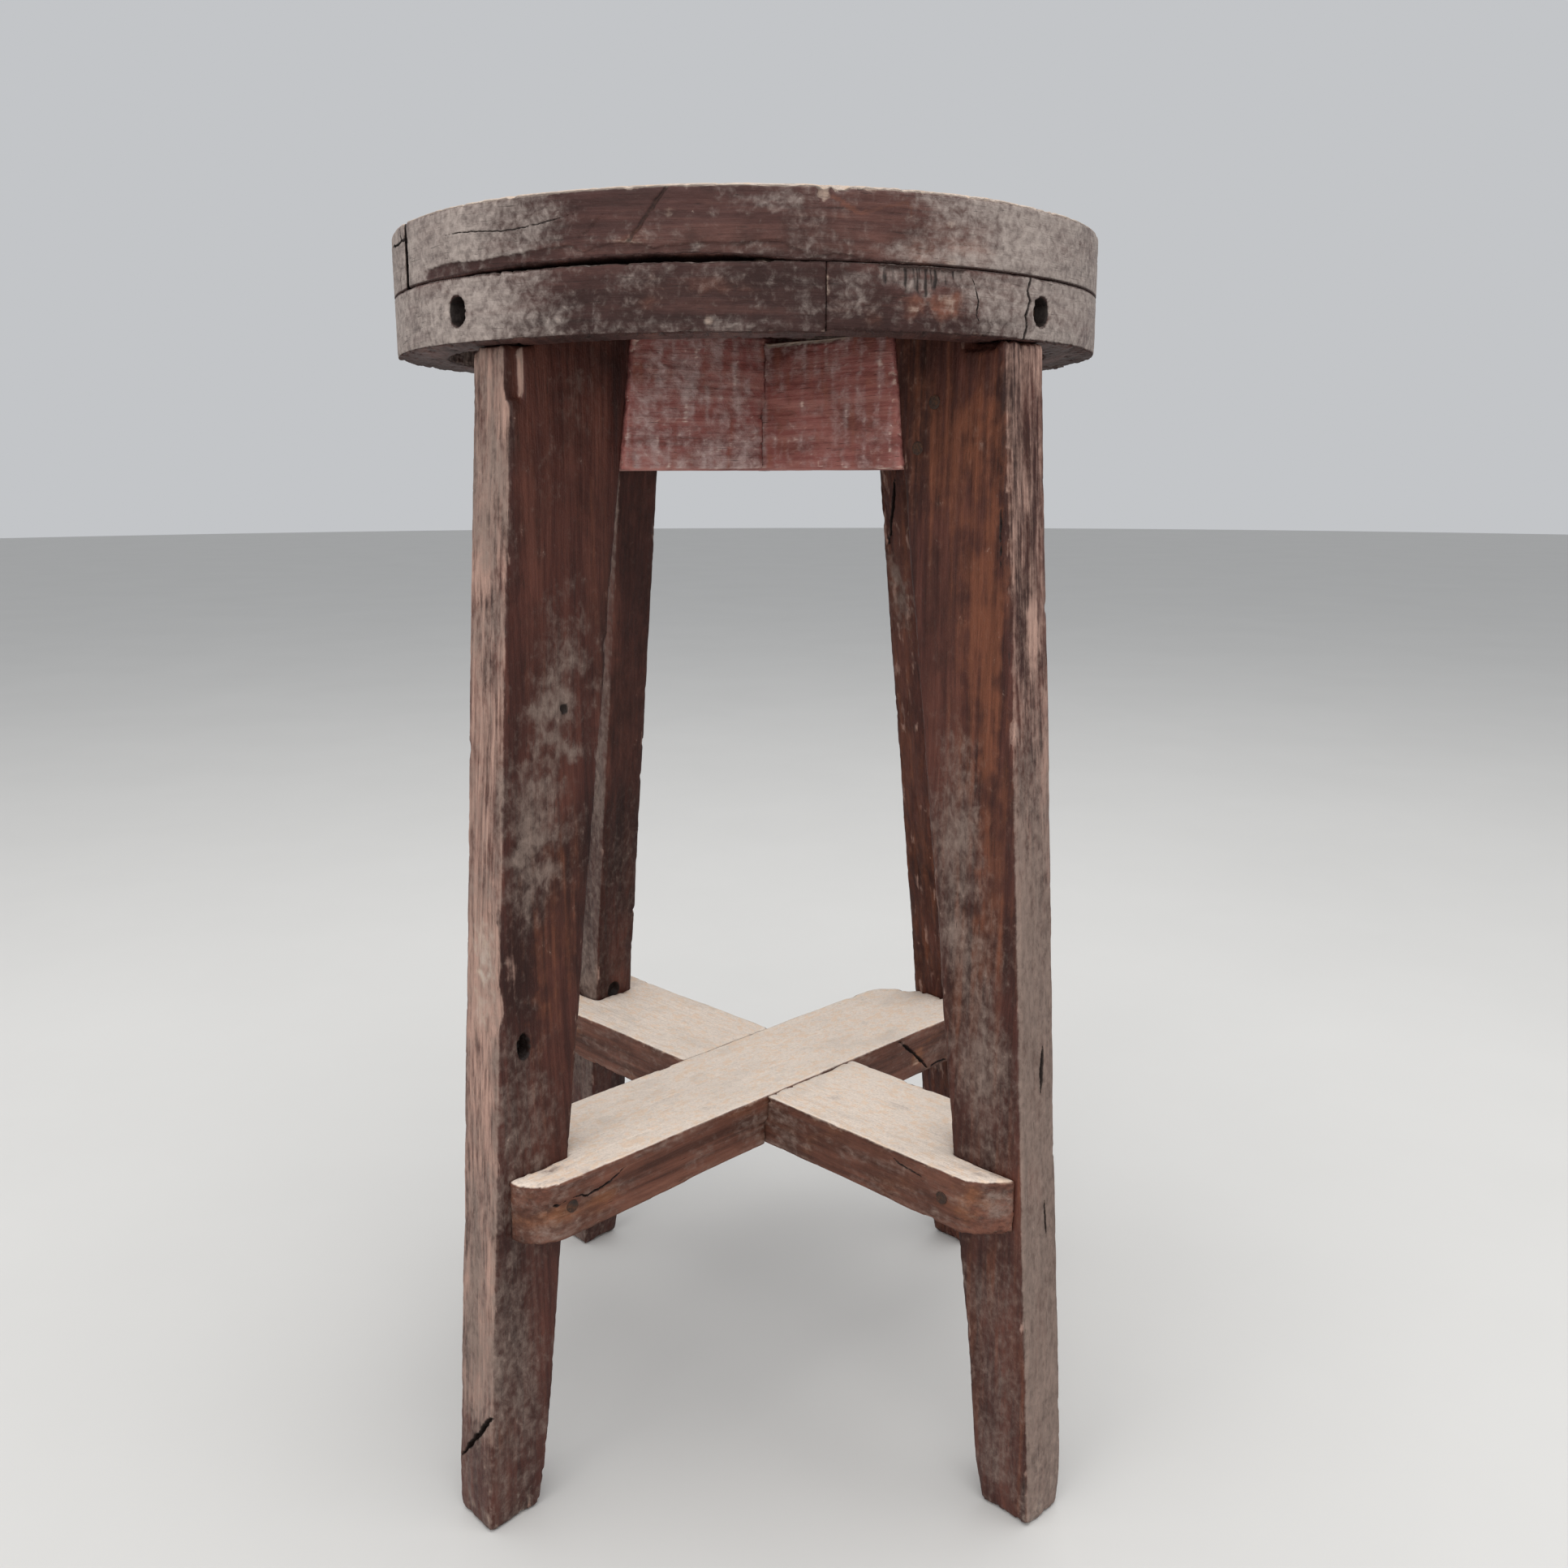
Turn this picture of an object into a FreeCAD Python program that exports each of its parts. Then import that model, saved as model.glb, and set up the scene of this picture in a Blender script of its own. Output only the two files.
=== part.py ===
"""Round-topped plank stand: a round slab on a segmented ring and four splayed plank legs.

Millimetres, +Z up. The origin is on the floor, straight below the middle of the round top.
The top is a thick slab with a narrow edge strip, over a ring of four curved segments.
The four legs stand on the diagonals. Each leg is a plank set edge-on to the middle, with its
thickness across the radius. Its outer part stops under the ring and its inner part runs on up
inside the ring to the slab; a peg bored in from the rim locks its segment to it.
Two deep rails cross in a half lap near the top and are tenoned into the legs. Two flat
stretchers cross in a half lap low down, and each end is forked to straddle its leg.
"""
import FreeCAD, Part
import math
import os
from FreeCAD import Vector

# ---- overall size -------------------------------------------------------------------------
TOP_DIAMETER = 400.0
OVERALL_HEIGHT = 712.0
UPPER_THICKNESS = 33.5        # upper layer of the top
LOWER_THICKNESS = 31.5        # height of the ring under the slab
RING_INNER_RADIUS = 172.5
TOP_ARRIS = 3.0               # worn rounding of the slab's top rim edge
INNER_RIM_ARRIS = 0.7         # rounding of the ring's top outer edge
RIM_EASE = 0.6                # small bevel of the slab's and the ring's lower outer edges

TOP_RADIUS = TOP_DIAMETER / 2
LAYER_JOINT = OVERALL_HEIGHT - UPPER_THICKNESS
UNDERSIDE = LAYER_JOINT - LOWER_THICKNESS

# The hand-made top sits slightly off the middle of its frame.
FRAME_CENTRE = Vector(9.5, -6.0, 0)

# ---- boards of the top --------------------------------------------------------------------
EDGE_JOINT_X = -174.0         # joint between the slab and the narrow edge strip
EDGE_GAP = 1.6                # that joint has opened
# Four quarter segments make the ring: the azimuth at which each one starts, and how much
# higher its underside is than the lowest.
RING_SEGMENTS = {
    "front_left": (-168.3, 0.0),
    "front_right": (-78.3, 1.2),
    "back_right": (11.7, 0.4),
    "back_left": (101.7, 0.8),
}
SEGMENT_SPAN = 90.0

# ---- legs ---------------------------------------------------------------------------------
LEG_THICKNESS = 33.0
OUTER_TOP, OUTER_FOOT = 186.5, 232.0      # radius of the outer edge at the top and the floor
INNER_TOP, INNER_FOOT = 113.0, 196.0      # radius of the inner edge at the top and the floor
LEG_OUTER_ARRIS = 3.0
LEG_INNER_ARRIS = 1.5
FOOT_ARRIS = 2.0
# Each leg: direction from the middle in degrees, then how far its foot stands out of true,
# outwards and sideways, and how much further out its inner and outer edges are at the top.
LEGS = {
    "front_left": (225, 4.5, 0.0, 1.5, 3.2),
    "front_right": (315, -2.5, -3.5, 2.0, 0.0),
    "back_right": (45, 0.0, 0.0, 1.0, 0.0),
    "back_left": (135, -3.5, -6.5, -3.0, 0.0),
}
REBATE_WIDTH, REBATE_DEPTH, REBATE_HEIGHT = 7.0, 5.0, 26.0          # front left leg's head
SHORT_SHOULDER_SPAN, SHORT_SHOULDER_DEPTH, SHORT_SHOULDER_GAP = (158.0, 181.0), 4.5, 4.0  # front right

# ---- pegs through the ring into the leg heads ---------------------------------------------
PEG_DIAMETER = 14.0
PEG_END_RADIUS = 125.0        # where the bore ends, from the middle of the frame
# Direction of each mouth on the rim, and how deep its peg lies in the bore.
RIM_PEGS = {
    "front_left": (225.5, 17.0),
    "front_right": (318.5, 7.0),
    "back_right": (42.0, 9.0),
    "back_left": (137.0, 12.0),
}

# ---- rails on edge under the top ----------------------------------------------------------
RAIL_THICKNESS = 36.0
RAIL_BOTTOM = 586.0
RAIL_TOP = {"over": 660.0, "under": 657.0}      # both end inside the ring, short of the slab
RAIL_LAP = 621.5              # height where the two half laps meet
RAIL_ARRIS = 1.5
RAIL_TENON = (12.0, 47.0)     # thickness and height
RAIL_TENON_END = 152.0        # radius that the tenon reaches inside the leg
RAIL_TENON_LIFT = 3.0         # tenon above the rail's lower edge
RAIL_TENON_ROOT = 12.0        # how far the tenon's block runs back into the rail

# ---- flat stretchers ----------------------------------------------------------------------
STRETCHER_WIDTH = 78.0
STRETCHER_THICKNESS = 32.0
STRETCHER_TOP = 209.5
STRETCHER_END = 214.0         # radius of the prong tips
CORNER_LENGTH = 23.0          # length along the prong that its outer corner is rounded over
# How far the corner's arc stands out from a straight facet: fully round on one, blunt on the other.
CORNER_BULGE = {"over": 6.8, "under": 2.5}
# One end of the upper board was sawn deeper than the rest.
END_SWELL = {"over": 3.0, "under": 0.0}
# At the back right the rear prong has snapped off short of the leg and worn round, and at the
# front right the rear prong stops a little short of the leg's outer face.
SHORT_PRONGS = {("over", 1, 1): 163.0, ("under", -1, -1): 211.0}

# The rail and the stretcher that run on above at their crossing go front left to back right.
MEMBERS = (("over", 45), ("under", 135))
# The four ends of the crossing members: direction, which member, and the side that the
# rail tenon is nailed from.
LEG_ENDS = ((45, "over", -1), (225, "over", -1), (135, "under", 1), (315, "under", -1))

# ---- hidden and small fasteners -----------------------------------------------------------
NAIL_SHANK, NAIL_POINT, NAIL_HEAD, NAIL_HEAD_HEIGHT = 3.2, 0.6, 7.5, 1.6
NAIL_PROUD = 0.5
RAIL_NAIL_LENGTH = 28.0
RAIL_NAILS = [(142.5, 620.0), (132.0, 597.0)]        # radius and height
STRETCHER_NAIL_LENGTH = 38.0
STRETCHER_NAIL_RADIUS = {"over": 188.0, "under": 177.0}
SNAPPED_NAIL = ("over", 45, 1)                       # went with its prong
LAP_NAIL_LENGTH = 26.0
RAIL_LAP_NAIL_LENGTH = 46.0
RING_MIDDLE = (TOP_RADIUS + RING_INNER_RADIUS) / 2
LAYER_PEG_DIAMETER, LAYER_PEG_LENGTH = 10.0, 42.0
LAYER_PEG_OFFSETS = (22.0, 82.0)                     # degrees past each segment's start
RING_DOWEL_DIAMETER, RING_DOWEL_LENGTH = 8.0, 30.0
EDGE_DOWEL_DIAMETER, EDGE_DOWEL_LENGTH, EDGE_DOWEL_Y = 8.0, 34.0, (-42.0, 42.0)

Z = Vector(0, 0, 1)
OVERCUT = 10.0                # cutting blocks reach this far past what they cut
NEAR = 0.01                   # tolerance when picking edges


def box(x_span, y_span, z_span):
    """Block between the given low and high values."""
    size = [high - low for low, high in (x_span, y_span, z_span)]
    return Part.makeBox(*size, Vector(x_span[0], y_span[0], z_span[0]))


def centred(half):
    """Span that reaches the same distance both ways."""
    return -half, half


def placed(shape, azimuth):
    """Turn a shape built along +X to its diagonal, and move it to the middle of the frame."""
    turned = shape.copy()
    turned.rotate(Vector(0, 0, 0), Z, azimuth)
    turned.translate(FRAME_CENTRE)
    return turned


def write(node, *solids):
    """One file per node; a group of identical fasteners goes in as separate solids."""
    shape = solids[0] if len(solids) == 1 else Part.makeCompound(list(solids))
    shape.exportStep(f"parts/{node}.step")


# ---- legs ---------------------------------------------------------------------------------
def outer_radius(foot_out, top_out, height):
    """Radius of a leg's outer edge at a height."""
    foot = OUTER_FOOT + foot_out
    return foot + (OUTER_TOP + top_out - foot) * height / UNDERSIDE


def inner_radius(foot_out, top_in, height):
    """Radius of a leg's inner edge at a height."""
    foot = INNER_FOOT + foot_out
    return foot + (INNER_TOP + top_in - foot) * height / UNDERSIDE


def tapered_block(foot_out, top_in, top_out, thickness):
    """Leg's outline along +X at any thickness, running past both ends."""
    low, high = -OVERCUT, LAYER_JOINT + OVERCUT
    outline = [
        Vector(inner_radius(foot_out, top_in, low), -thickness / 2, low),
        Vector(outer_radius(foot_out, top_out, low), -thickness / 2, low),
        Vector(outer_radius(foot_out, top_out, high), -thickness / 2, high),
        Vector(inner_radius(foot_out, top_in, high), -thickness / 2, high),
    ]
    return Part.Face(Part.makePolygon(outline + outline[:1])).extrude(Vector(0, thickness, 0))


def leg_plank(foot_out, foot_side, top_in, top_out):
    """Tapered, splayed plank along +X, leaning sideways from its top, cut level at both ends."""
    plank = tapered_block(foot_out, top_in, top_out, LEG_THICKNESS)

    def long_edges(body, radius_at):
        return [edge for edge in body.Edges
                if edge.BoundBox.ZLength > UNDERSIDE
                and all(abs(vertex.X - radius_at(vertex.Z)) < NEAR for vertex in edge.Vertexes)]

    plank = plank.makeFillet(LEG_OUTER_ARRIS, long_edges(plank, lambda z: outer_radius(foot_out, top_out, z)))
    plank = plank.makeFillet(LEG_INNER_ARRIS, long_edges(plank, lambda z: inner_radius(foot_out, top_in, z)))
    lean = math.degrees(math.atan2(foot_side, UNDERSIDE))
    plank.rotate(Vector(0, 0, UNDERSIDE), Vector(1, 0, 0), lean)
    reach = 2 * OUTER_FOOT
    plank = plank.common(box((0, reach), centred(reach), (0, LAYER_JOINT)))
    sole_middle = (inner_radius(foot_out, top_in, 0) + outer_radius(foot_out, top_out, 0)) / 2
    sole_edges = [edge for edge in plank.Edges
                  if edge.BoundBox.ZMax < NEAR and edge.CenterOfMass.x > sole_middle - NEAR]
    return plank.makeChamfer(FOOT_ARRIS, sole_edges)


def head_marks():
    """Old rebate on the front left leg and the short shoulder on the front right leg."""
    outer = OUTER_TOP + LEGS["front_left"][-1]
    rebate = box((outer - REBATE_WIDTH, outer + OVERCUT),
                 (LEG_THICKNESS / 2 - REBATE_DEPTH, LEG_THICKNESS),
                 (UNDERSIDE - REBATE_HEIGHT, UNDERSIDE + OVERCUT))
    shoulder = UNDERSIDE + RING_SEGMENTS["front_right"][1]
    short_shoulder = box(SHORT_SHOULDER_SPAN, (-LEG_THICKNESS, SHORT_SHOULDER_DEPTH - LEG_THICKNESS / 2),
                         (shoulder - SHORT_SHOULDER_GAP, LAYER_JOINT + OVERCUT))
    return {"front_left": rebate, "front_right": short_shoulder}


# ---- fasteners ----------------------------------------------------------------------------
def nail(length):
    """Round nail driven along -Z: its head's top is at z = 0, its point at z = -length."""
    head = Part.makeCylinder(NAIL_HEAD / 2, NAIL_HEAD_HEIGHT, Vector(0, 0, -NAIL_HEAD_HEIGHT))
    tip = 2.5 * NAIL_SHANK
    shank = Part.makeCylinder(NAIL_SHANK / 2, length - tip, Vector(0, 0, tip - length))
    point = Part.makeCone(NAIL_POINT / 2, NAIL_SHANK / 2, tip, Vector(0, 0, -length))
    return head.fuse(shank).fuse(point).removeSplitter()


def nail_from_side(length, radius, height, face_y, side):
    """Nail driven across a leg from the face at side * face_y, along the leg's thickness."""
    driven = nail(length)
    driven.rotate(Vector(0, 0, 0), Vector(1, 0, 0), -90 * side)
    driven.translate(Vector(radius, side * (face_y + NAIL_PROUD), height))
    return driven


def nail_from_below(length, bottom):
    """Nail driven straight up at the crossing."""
    driven = nail(length)
    driven.rotate(Vector(0, 0, 0), Vector(1, 0, 0), 180)
    driven.translate(Vector(0, 0, bottom - NAIL_PROUD))
    return driven


def rim_bore(name):
    """Bore from a mouth on the rim into the leg's head, and the peg that lies in it."""
    mouth_azimuth, depth = RIM_PEGS[name]
    leg_azimuth = math.radians(LEGS[name][0])
    mouth_angle = math.radians(mouth_azimuth)
    height = UNDERSIDE + LOWER_THICKNESS / 2
    mouth = Vector(TOP_RADIUS * math.cos(mouth_angle), TOP_RADIUS * math.sin(mouth_angle), height)
    target = FRAME_CENTRE + Vector(PEG_END_RADIUS * math.cos(leg_azimuth),
                                   PEG_END_RADIUS * math.sin(leg_azimuth), height)
    reach = (target - mouth).Length
    inwards = (target - mouth).normalize()
    bore = Part.makeCylinder(PEG_DIAMETER / 2, reach + OVERCUT, mouth - inwards * OVERCUT, inwards)
    peg = Part.makeCylinder(PEG_DIAMETER / 2, reach - depth, mouth + inwards * depth, inwards)
    return bore, peg


def layer_pegs():
    """Blind pegs that hold the slab on the ring, half in each."""
    spots = [math.radians(start + offset) for start, _ in RING_SEGMENTS.values() for offset in LAYER_PEG_OFFSETS]
    return [Part.makeCylinder(LAYER_PEG_DIAMETER / 2, LAYER_PEG_LENGTH,
                              Vector(RING_MIDDLE * math.cos(spot), RING_MIDDLE * math.sin(spot),
                                     LAYER_JOINT - LAYER_PEG_LENGTH / 2)) for spot in spots]


def ring_dowels():
    """One dowel across each joint of the ring."""
    dowel = Part.makeCylinder(RING_DOWEL_DIAMETER / 2, RING_DOWEL_LENGTH,
                              Vector(RING_MIDDLE, -RING_DOWEL_LENGTH / 2, UNDERSIDE + LOWER_THICKNESS / 2),
                              Vector(0, 1, 0))
    dowels = []
    for start, _ in RING_SEGMENTS.values():
        turned = dowel.copy()
        turned.rotate(Vector(0, 0, 0), Z, start)
        dowels.append(turned)
    return dowels


def edge_dowels():
    """Dowels along X across the joint between the slab and its edge strip."""
    height = LAYER_JOINT + UPPER_THICKNESS / 2
    return [Part.makeCylinder(EDGE_DOWEL_DIAMETER / 2, EDGE_DOWEL_LENGTH,
                              Vector(EDGE_JOINT_X - EDGE_DOWEL_LENGTH / 2, row, height), Vector(1, 0, 0))
            for row in EDGE_DOWEL_Y]


# ---- rails and stretchers -----------------------------------------------------------------
def rail_bar(name):
    """Plain rail along X, long enough to run into both legs."""
    bar = box(centred(OUTER_TOP), centred(RAIL_THICKNESS / 2), (RAIL_BOTTOM, RAIL_TOP[name]))
    low_edges = [edge for edge in bar.Edges
                 if edge.BoundBox.ZMax < RAIL_BOTTOM + NEAR and edge.Length > OUTER_TOP]
    return bar.makeChamfer(RAIL_ARRIS, low_edges)


def rail_tenon(end):
    """Tenon of a rail inside a leg; end is +1 or -1 along X."""
    thickness, height = RAIL_TENON
    bottom = RAIL_BOTTOM + RAIL_TENON_LIFT
    start = INNER_TOP - RAIL_TENON_ROOT
    span = sorted((end * start, end * RAIL_TENON_END))
    return box(span, centred(thickness / 2), (bottom, bottom + height))


def lap_notch(width, z_span):
    """Block that half-laps a bar where the other one crosses it."""
    return box(centred(width / 2), centred(2 * width), z_span)


def stretcher_board(name):
    """Flat board along X with rounded outer corners, cut from a blank that may be deeper at one end."""
    half_width, prong_inside = STRETCHER_WIDTH / 2, LEG_THICKNESS / 2
    bottom = STRETCHER_TOP - STRETCHER_THICKNESS
    blank_bottom = bottom - END_SWELL[name]

    def corner(x_sign, y_sign):
        tip = SHORT_PRONGS.get((name, x_sign, y_sign), STRETCHER_END)
        start, end = Vector(tip - CORNER_LENGTH, half_width, 0), Vector(tip, prong_inside, 0)
        outwards = Vector(start.y - end.y, end.x - start.x, 0).normalize()
        knee = (start + end) / 2 + outwards * CORNER_BULGE[name]
        return [Vector(x_sign * point.x, y_sign * point.y, blank_bottom) for point in (start, knee, end)]

    corners = [corner(1, 1), corner(1, -1)[::-1], corner(-1, -1), corner(-1, 1)[::-1]]
    edges = []
    for points, following in zip(corners, corners[1:] + corners[:1]):
        edges.append(Part.Arc(*points).toShape())
        edges.append(Part.makeLine(points[-1], following[0]))
    board = Part.Face(Part.Wire(edges)).extrude(Vector(0, 0, STRETCHER_TOP - blank_bottom))

    side = [(-STRETCHER_END, blank_bottom), (-half_width, bottom), (STRETCHER_END, bottom),
            (STRETCHER_END, STRETCHER_TOP), (-STRETCHER_END, STRETCHER_TOP)]
    outline = [Vector(x, -STRETCHER_WIDTH, z) for x, z in side + side[:1]]
    blank = Part.Face(Part.makePolygon(outline)).extrude(Vector(0, 2 * STRETCHER_WIDTH, 0))
    return board.common(blank)


# ---- the top ------------------------------------------------------------------------------
def eased(board, bottom, top, top_arris):
    """Round a board's top outer edge and bevel its lower outer edge, where they lie on the rim."""
    def rim(height):
        return [edge for edge in board.Edges if isinstance(edge.Curve, Part.Circle)
                and abs(edge.Curve.Radius - TOP_RADIUS) < NEAR
                and abs(edge.BoundBox.ZMin - height) < NEAR and abs(edge.BoundBox.ZMax - height) < NEAR]

    board = board.makeFillet(top_arris, rim(top))
    return board.makeChamfer(RIM_EASE, rim(bottom))


def slab_board(x_span):
    """The part of the slab between two upright planes."""
    body = Part.makeCylinder(TOP_RADIUS, UPPER_THICKNESS, Vector(0, 0, LAYER_JOINT))
    board = body.common(box(x_span, centred(2 * TOP_RADIUS), (0, 2 * OVERALL_HEIGHT)))
    return eased(board, LAYER_JOINT, OVERALL_HEIGHT, TOP_ARRIS)


def ring_segment(name):
    """One quarter of the ring."""
    start, lift = RING_SEGMENTS[name]
    bottom, height = Vector(0, 0, UNDERSIDE + lift), LOWER_THICKNESS - lift
    outer = Part.makeCylinder(TOP_RADIUS, height, bottom, Z, SEGMENT_SPAN)
    inner = Part.makeCylinder(RING_INNER_RADIUS, height, bottom, Z, SEGMENT_SPAN)
    segment = outer.cut(inner)
    segment.rotate(Vector(0, 0, 0), Z, start)
    return eased(segment, bottom.z, LAYER_JOINT, INNER_RIM_ARRIS)


def shoulder_block(lift):
    """Everything outside the ring's inner face and above a segment's underside."""
    bottom = Vector(0, 0, UNDERSIDE + lift)
    outer = Part.makeCylinder(TOP_RADIUS + OVERCUT, LOWER_THICKNESS + OVERCUT, bottom)
    return outer.cut(Part.makeCylinder(RING_INNER_RADIUS, LOWER_THICKNESS + OVERCUT, bottom))


def cut_all(shape, tools):
    """Cut every tool from a shape."""
    return shape.cut(Part.makeCompound(list(tools)))


def build():
    """Make every piece, cut each joint with the piece that fits it, and write the files."""
    # Legs without their joints, in place.
    planks = {name: placed(leg_plank(*shape), azimuth) for name, (azimuth, *shape) in LEGS.items()}
    segments = {name: ring_segment(name) for name in RING_SEGMENTS}
    bores = {name: rim_bore(name) for name in LEGS}

    # Rails: shoulders cut to the slope of the legs' inner edges, then a tenon at each end.
    shoulders = [placed(tapered_block(out, top_in, top_out, 2 * RAIL_THICKNESS), azimuth)
                 for azimuth, out, _, top_in, top_out in LEGS.values()]
    rails = {}
    rail_tenons = {}
    laps = {"over": (RAIL_BOTTOM - OVERCUT, RAIL_LAP), "under": (RAIL_LAP, LAYER_JOINT)}
    for name, azimuth in MEMBERS:
        notch = lap_notch(RAIL_THICKNESS, laps[name])
        body = placed(rail_bar(name).cut(notch), azimuth)
        body = cut_all(body, shoulders + list(planks.values()))
        body = max(body.Solids, key=lambda solid: solid.Volume)
        rail_tenons[name] = [placed(rail_tenon(end), azimuth) for end in (1, -1)]
        for tenon in rail_tenons[name]:
            body = body.fuse(tenon)
        rails[name] = body.removeSplitter()

    # Stretchers: their fork slots are cut by the legs that they straddle.
    stretchers = {}
    bottom = STRETCHER_TOP - STRETCHER_THICKNESS
    middle = STRETCHER_TOP - STRETCHER_THICKNESS / 2
    laps = {"over": (middle - STRETCHER_THICKNESS, middle), "under": (middle, middle + STRETCHER_THICKNESS)}
    for name, azimuth in MEMBERS:
        board = stretcher_board(name)
        board = placed(board.cut(lap_notch(STRETCHER_WIDTH, laps[name])), azimuth)
        board = cut_all(board, planks.values())
        stretchers[name] = max(board.Solids, key=lambda solid: solid.Volume)

    # Nails: two through each rail tenon, one through each prong, one at each crossing.
    rail_nails = []
    stretcher_nails = []
    for azimuth, lap, nailed_side in LEG_ENDS:
        for radius, height in RAIL_NAILS:
            driven = nail_from_side(RAIL_NAIL_LENGTH, radius, height, LEG_THICKNESS / 2, nailed_side)
            rail_nails.append(placed(driven, azimuth))
        for side in (1, -1):
            if (lap, azimuth, side) == SNAPPED_NAIL:
                continue
            driven = nail_from_side(STRETCHER_NAIL_LENGTH, STRETCHER_NAIL_RADIUS[lap], middle,
                                    STRETCHER_WIDTH / 2, side)
            stretcher_nails.append(placed(driven, azimuth))
    rail_lap_nail = placed(nail_from_below(RAIL_LAP_NAIL_LENGTH, RAIL_BOTTOM), 0)
    stretcher_lap_nail = placed(nail_from_below(LAP_NAIL_LENGTH, bottom), 0)

    # Legs: the ring cuts the shoulder, then come the mortise, the peg's bore, the nails and the
    # old marks.
    marks = head_marks()
    over_shoulder = [shoulder_block(lift) for _, lift in RING_SEGMENTS.values()]
    for (name, (azimuth, *_)), above in zip(LEGS.items(), over_shoulder):
        cutters = [above, bores[name][0], *rail_nails, *stretcher_nails]
        cutters += rail_tenons["over"] + rail_tenons["under"]
        if name in marks:
            cutters.append(placed(marks[name], azimuth))
        leg = cut_all(planks[name], cutters)
        write(f"leg_{name}", max(leg.Solids, key=lambda solid: solid.Volume))
        write(f"rim_peg_{name}", bores[name][1])

    for name, _ in MEMBERS:
        write(f"rail_{name}", cut_all(rails[name], rail_nails + [rail_lap_nail]))
        write(f"stretcher_{name}", cut_all(stretchers[name], stretcher_nails + [stretcher_lap_nail]))
    write("rail_nails", *rail_nails)
    write("stretcher_nails", *stretcher_nails)
    write("rail_lap_nail", rail_lap_nail)
    write("stretcher_lap_nail", stretcher_lap_nail)

    # Top: the slab with its edge strip, and the ring below them.
    pegs, across_joints, across_edge = layer_pegs(), ring_dowels(), edge_dowels()
    reach = 2 * TOP_RADIUS
    for node, x_span in (("upper_slab", (EDGE_JOINT_X + EDGE_GAP / 2, reach)),
                         ("upper_edge_strip", (-reach, EDGE_JOINT_X - EDGE_GAP / 2))):
        write(node, cut_all(slab_board(x_span), pegs + across_edge))
    cutters = [*(bore for bore, _ in bores.values()), *pegs, *across_joints]
    for name, segment in segments.items():
        write(f"ring_{name}", cut_all(segment, cutters))
    write("layer_pegs", *pegs)
    write("ring_dowels", *across_joints)
    write("edge_dowels", *across_edge)


os.makedirs("parts", exist_ok=True)
build()
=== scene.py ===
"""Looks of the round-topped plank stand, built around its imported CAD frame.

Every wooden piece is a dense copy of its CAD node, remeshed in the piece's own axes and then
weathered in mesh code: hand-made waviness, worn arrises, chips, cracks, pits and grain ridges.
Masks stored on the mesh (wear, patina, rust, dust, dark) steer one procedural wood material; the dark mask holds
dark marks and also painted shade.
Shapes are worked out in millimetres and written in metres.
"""
import math

import bmesh
import bpy
import numpy as np
from mathutils import Matrix, Vector


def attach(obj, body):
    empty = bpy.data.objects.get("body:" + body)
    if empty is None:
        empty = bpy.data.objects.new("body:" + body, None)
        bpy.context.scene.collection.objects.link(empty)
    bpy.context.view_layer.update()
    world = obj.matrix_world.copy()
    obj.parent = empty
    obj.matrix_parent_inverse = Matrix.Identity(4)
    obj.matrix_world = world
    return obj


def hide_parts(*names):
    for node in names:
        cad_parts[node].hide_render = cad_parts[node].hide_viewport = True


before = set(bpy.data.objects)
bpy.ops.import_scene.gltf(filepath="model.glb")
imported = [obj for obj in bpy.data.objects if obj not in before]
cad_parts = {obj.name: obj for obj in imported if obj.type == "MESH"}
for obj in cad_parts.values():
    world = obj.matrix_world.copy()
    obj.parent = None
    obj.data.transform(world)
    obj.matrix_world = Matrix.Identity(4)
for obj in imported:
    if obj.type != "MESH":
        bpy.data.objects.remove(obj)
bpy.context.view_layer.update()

MM = 0.001
COARSER = 1.0

# ---- sizes taken over from the design, in millimetres
TOP_RADIUS = 200.0
TOP_Z, LAYER_Z, UNDER_Z = 712.0, 678.5, 647.0
RING_INNER = 172.5
RING_BOTTOM = {"front_left": 647.0, "front_right": 648.2, "back_right": 647.4, "back_left": 647.8}
RING_JOINTS = (-168.3, -78.3, 11.7, 101.7)
BORE_AZIMUTHS = {"front_left": 225.5, "front_right": 318.5, "back_right": 42.0, "back_left": 137.0}
BORE_Z = 662.75
LEG_AZIMUTHS = {"front_left": 225, "front_right": 315, "back_right": 45, "back_left": 135}
FRAME_CENTRE = np.array([9.5, -6.0, 0.0])
LEG_OUTER_TOP, LEG_OUTER_FOOT = 186.5, 232.0
LEG_INNER_TOP, LEG_INNER_FOOT = 113.0, 196.0
LEG_HALF = 16.5
# how far a leg's foot and its head's outer and inner edges differ from those radii
LEG_OUT = {"front_left": (4.5, 3.2), "front_right": (-2.5, 0.0)}
LEG_IN = {"back_right": (0.0, 1.0), "back_left": (-3.5, -3.0)}
RAIL_HALF, RAIL_TOP = 18.0, 657.0
STRETCHER_HALF, STRETCHER_TOP = 39.0, 209.5
PEG_END_RADIUS = 125.0


# ---- noise
GRADIENTS = np.array([[1, 1, 0], [-1, 1, 0], [1, -1, 0], [-1, -1, 0], [1, 0, 1], [-1, 0, 1],
                      [1, 0, -1], [-1, 0, -1], [0, 1, 1], [0, -1, 1], [0, 1, -1], [0, -1, -1]], float)


def lattice_gradient(cell, seed):
    """One of twelve directions for each lattice point, by hashing its three indices."""
    i, j, k = (cell[:, axis].astype(np.int64).astype(np.uint32) for axis in range(3))
    with np.errstate(over="ignore"):
        h = i * np.uint32(374761393) + j * np.uint32(668265263) + k * np.uint32(2246822519)
        h = h + np.uint32((seed * 2654435761) % 2**32)
        h = (h ^ (h >> np.uint32(15))) * np.uint32(2246822519)
        h = (h ^ (h >> np.uint32(13))) * np.uint32(3266489917)
        h = h ^ (h >> np.uint32(16))
    return GRADIENTS[h % 12]


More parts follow.
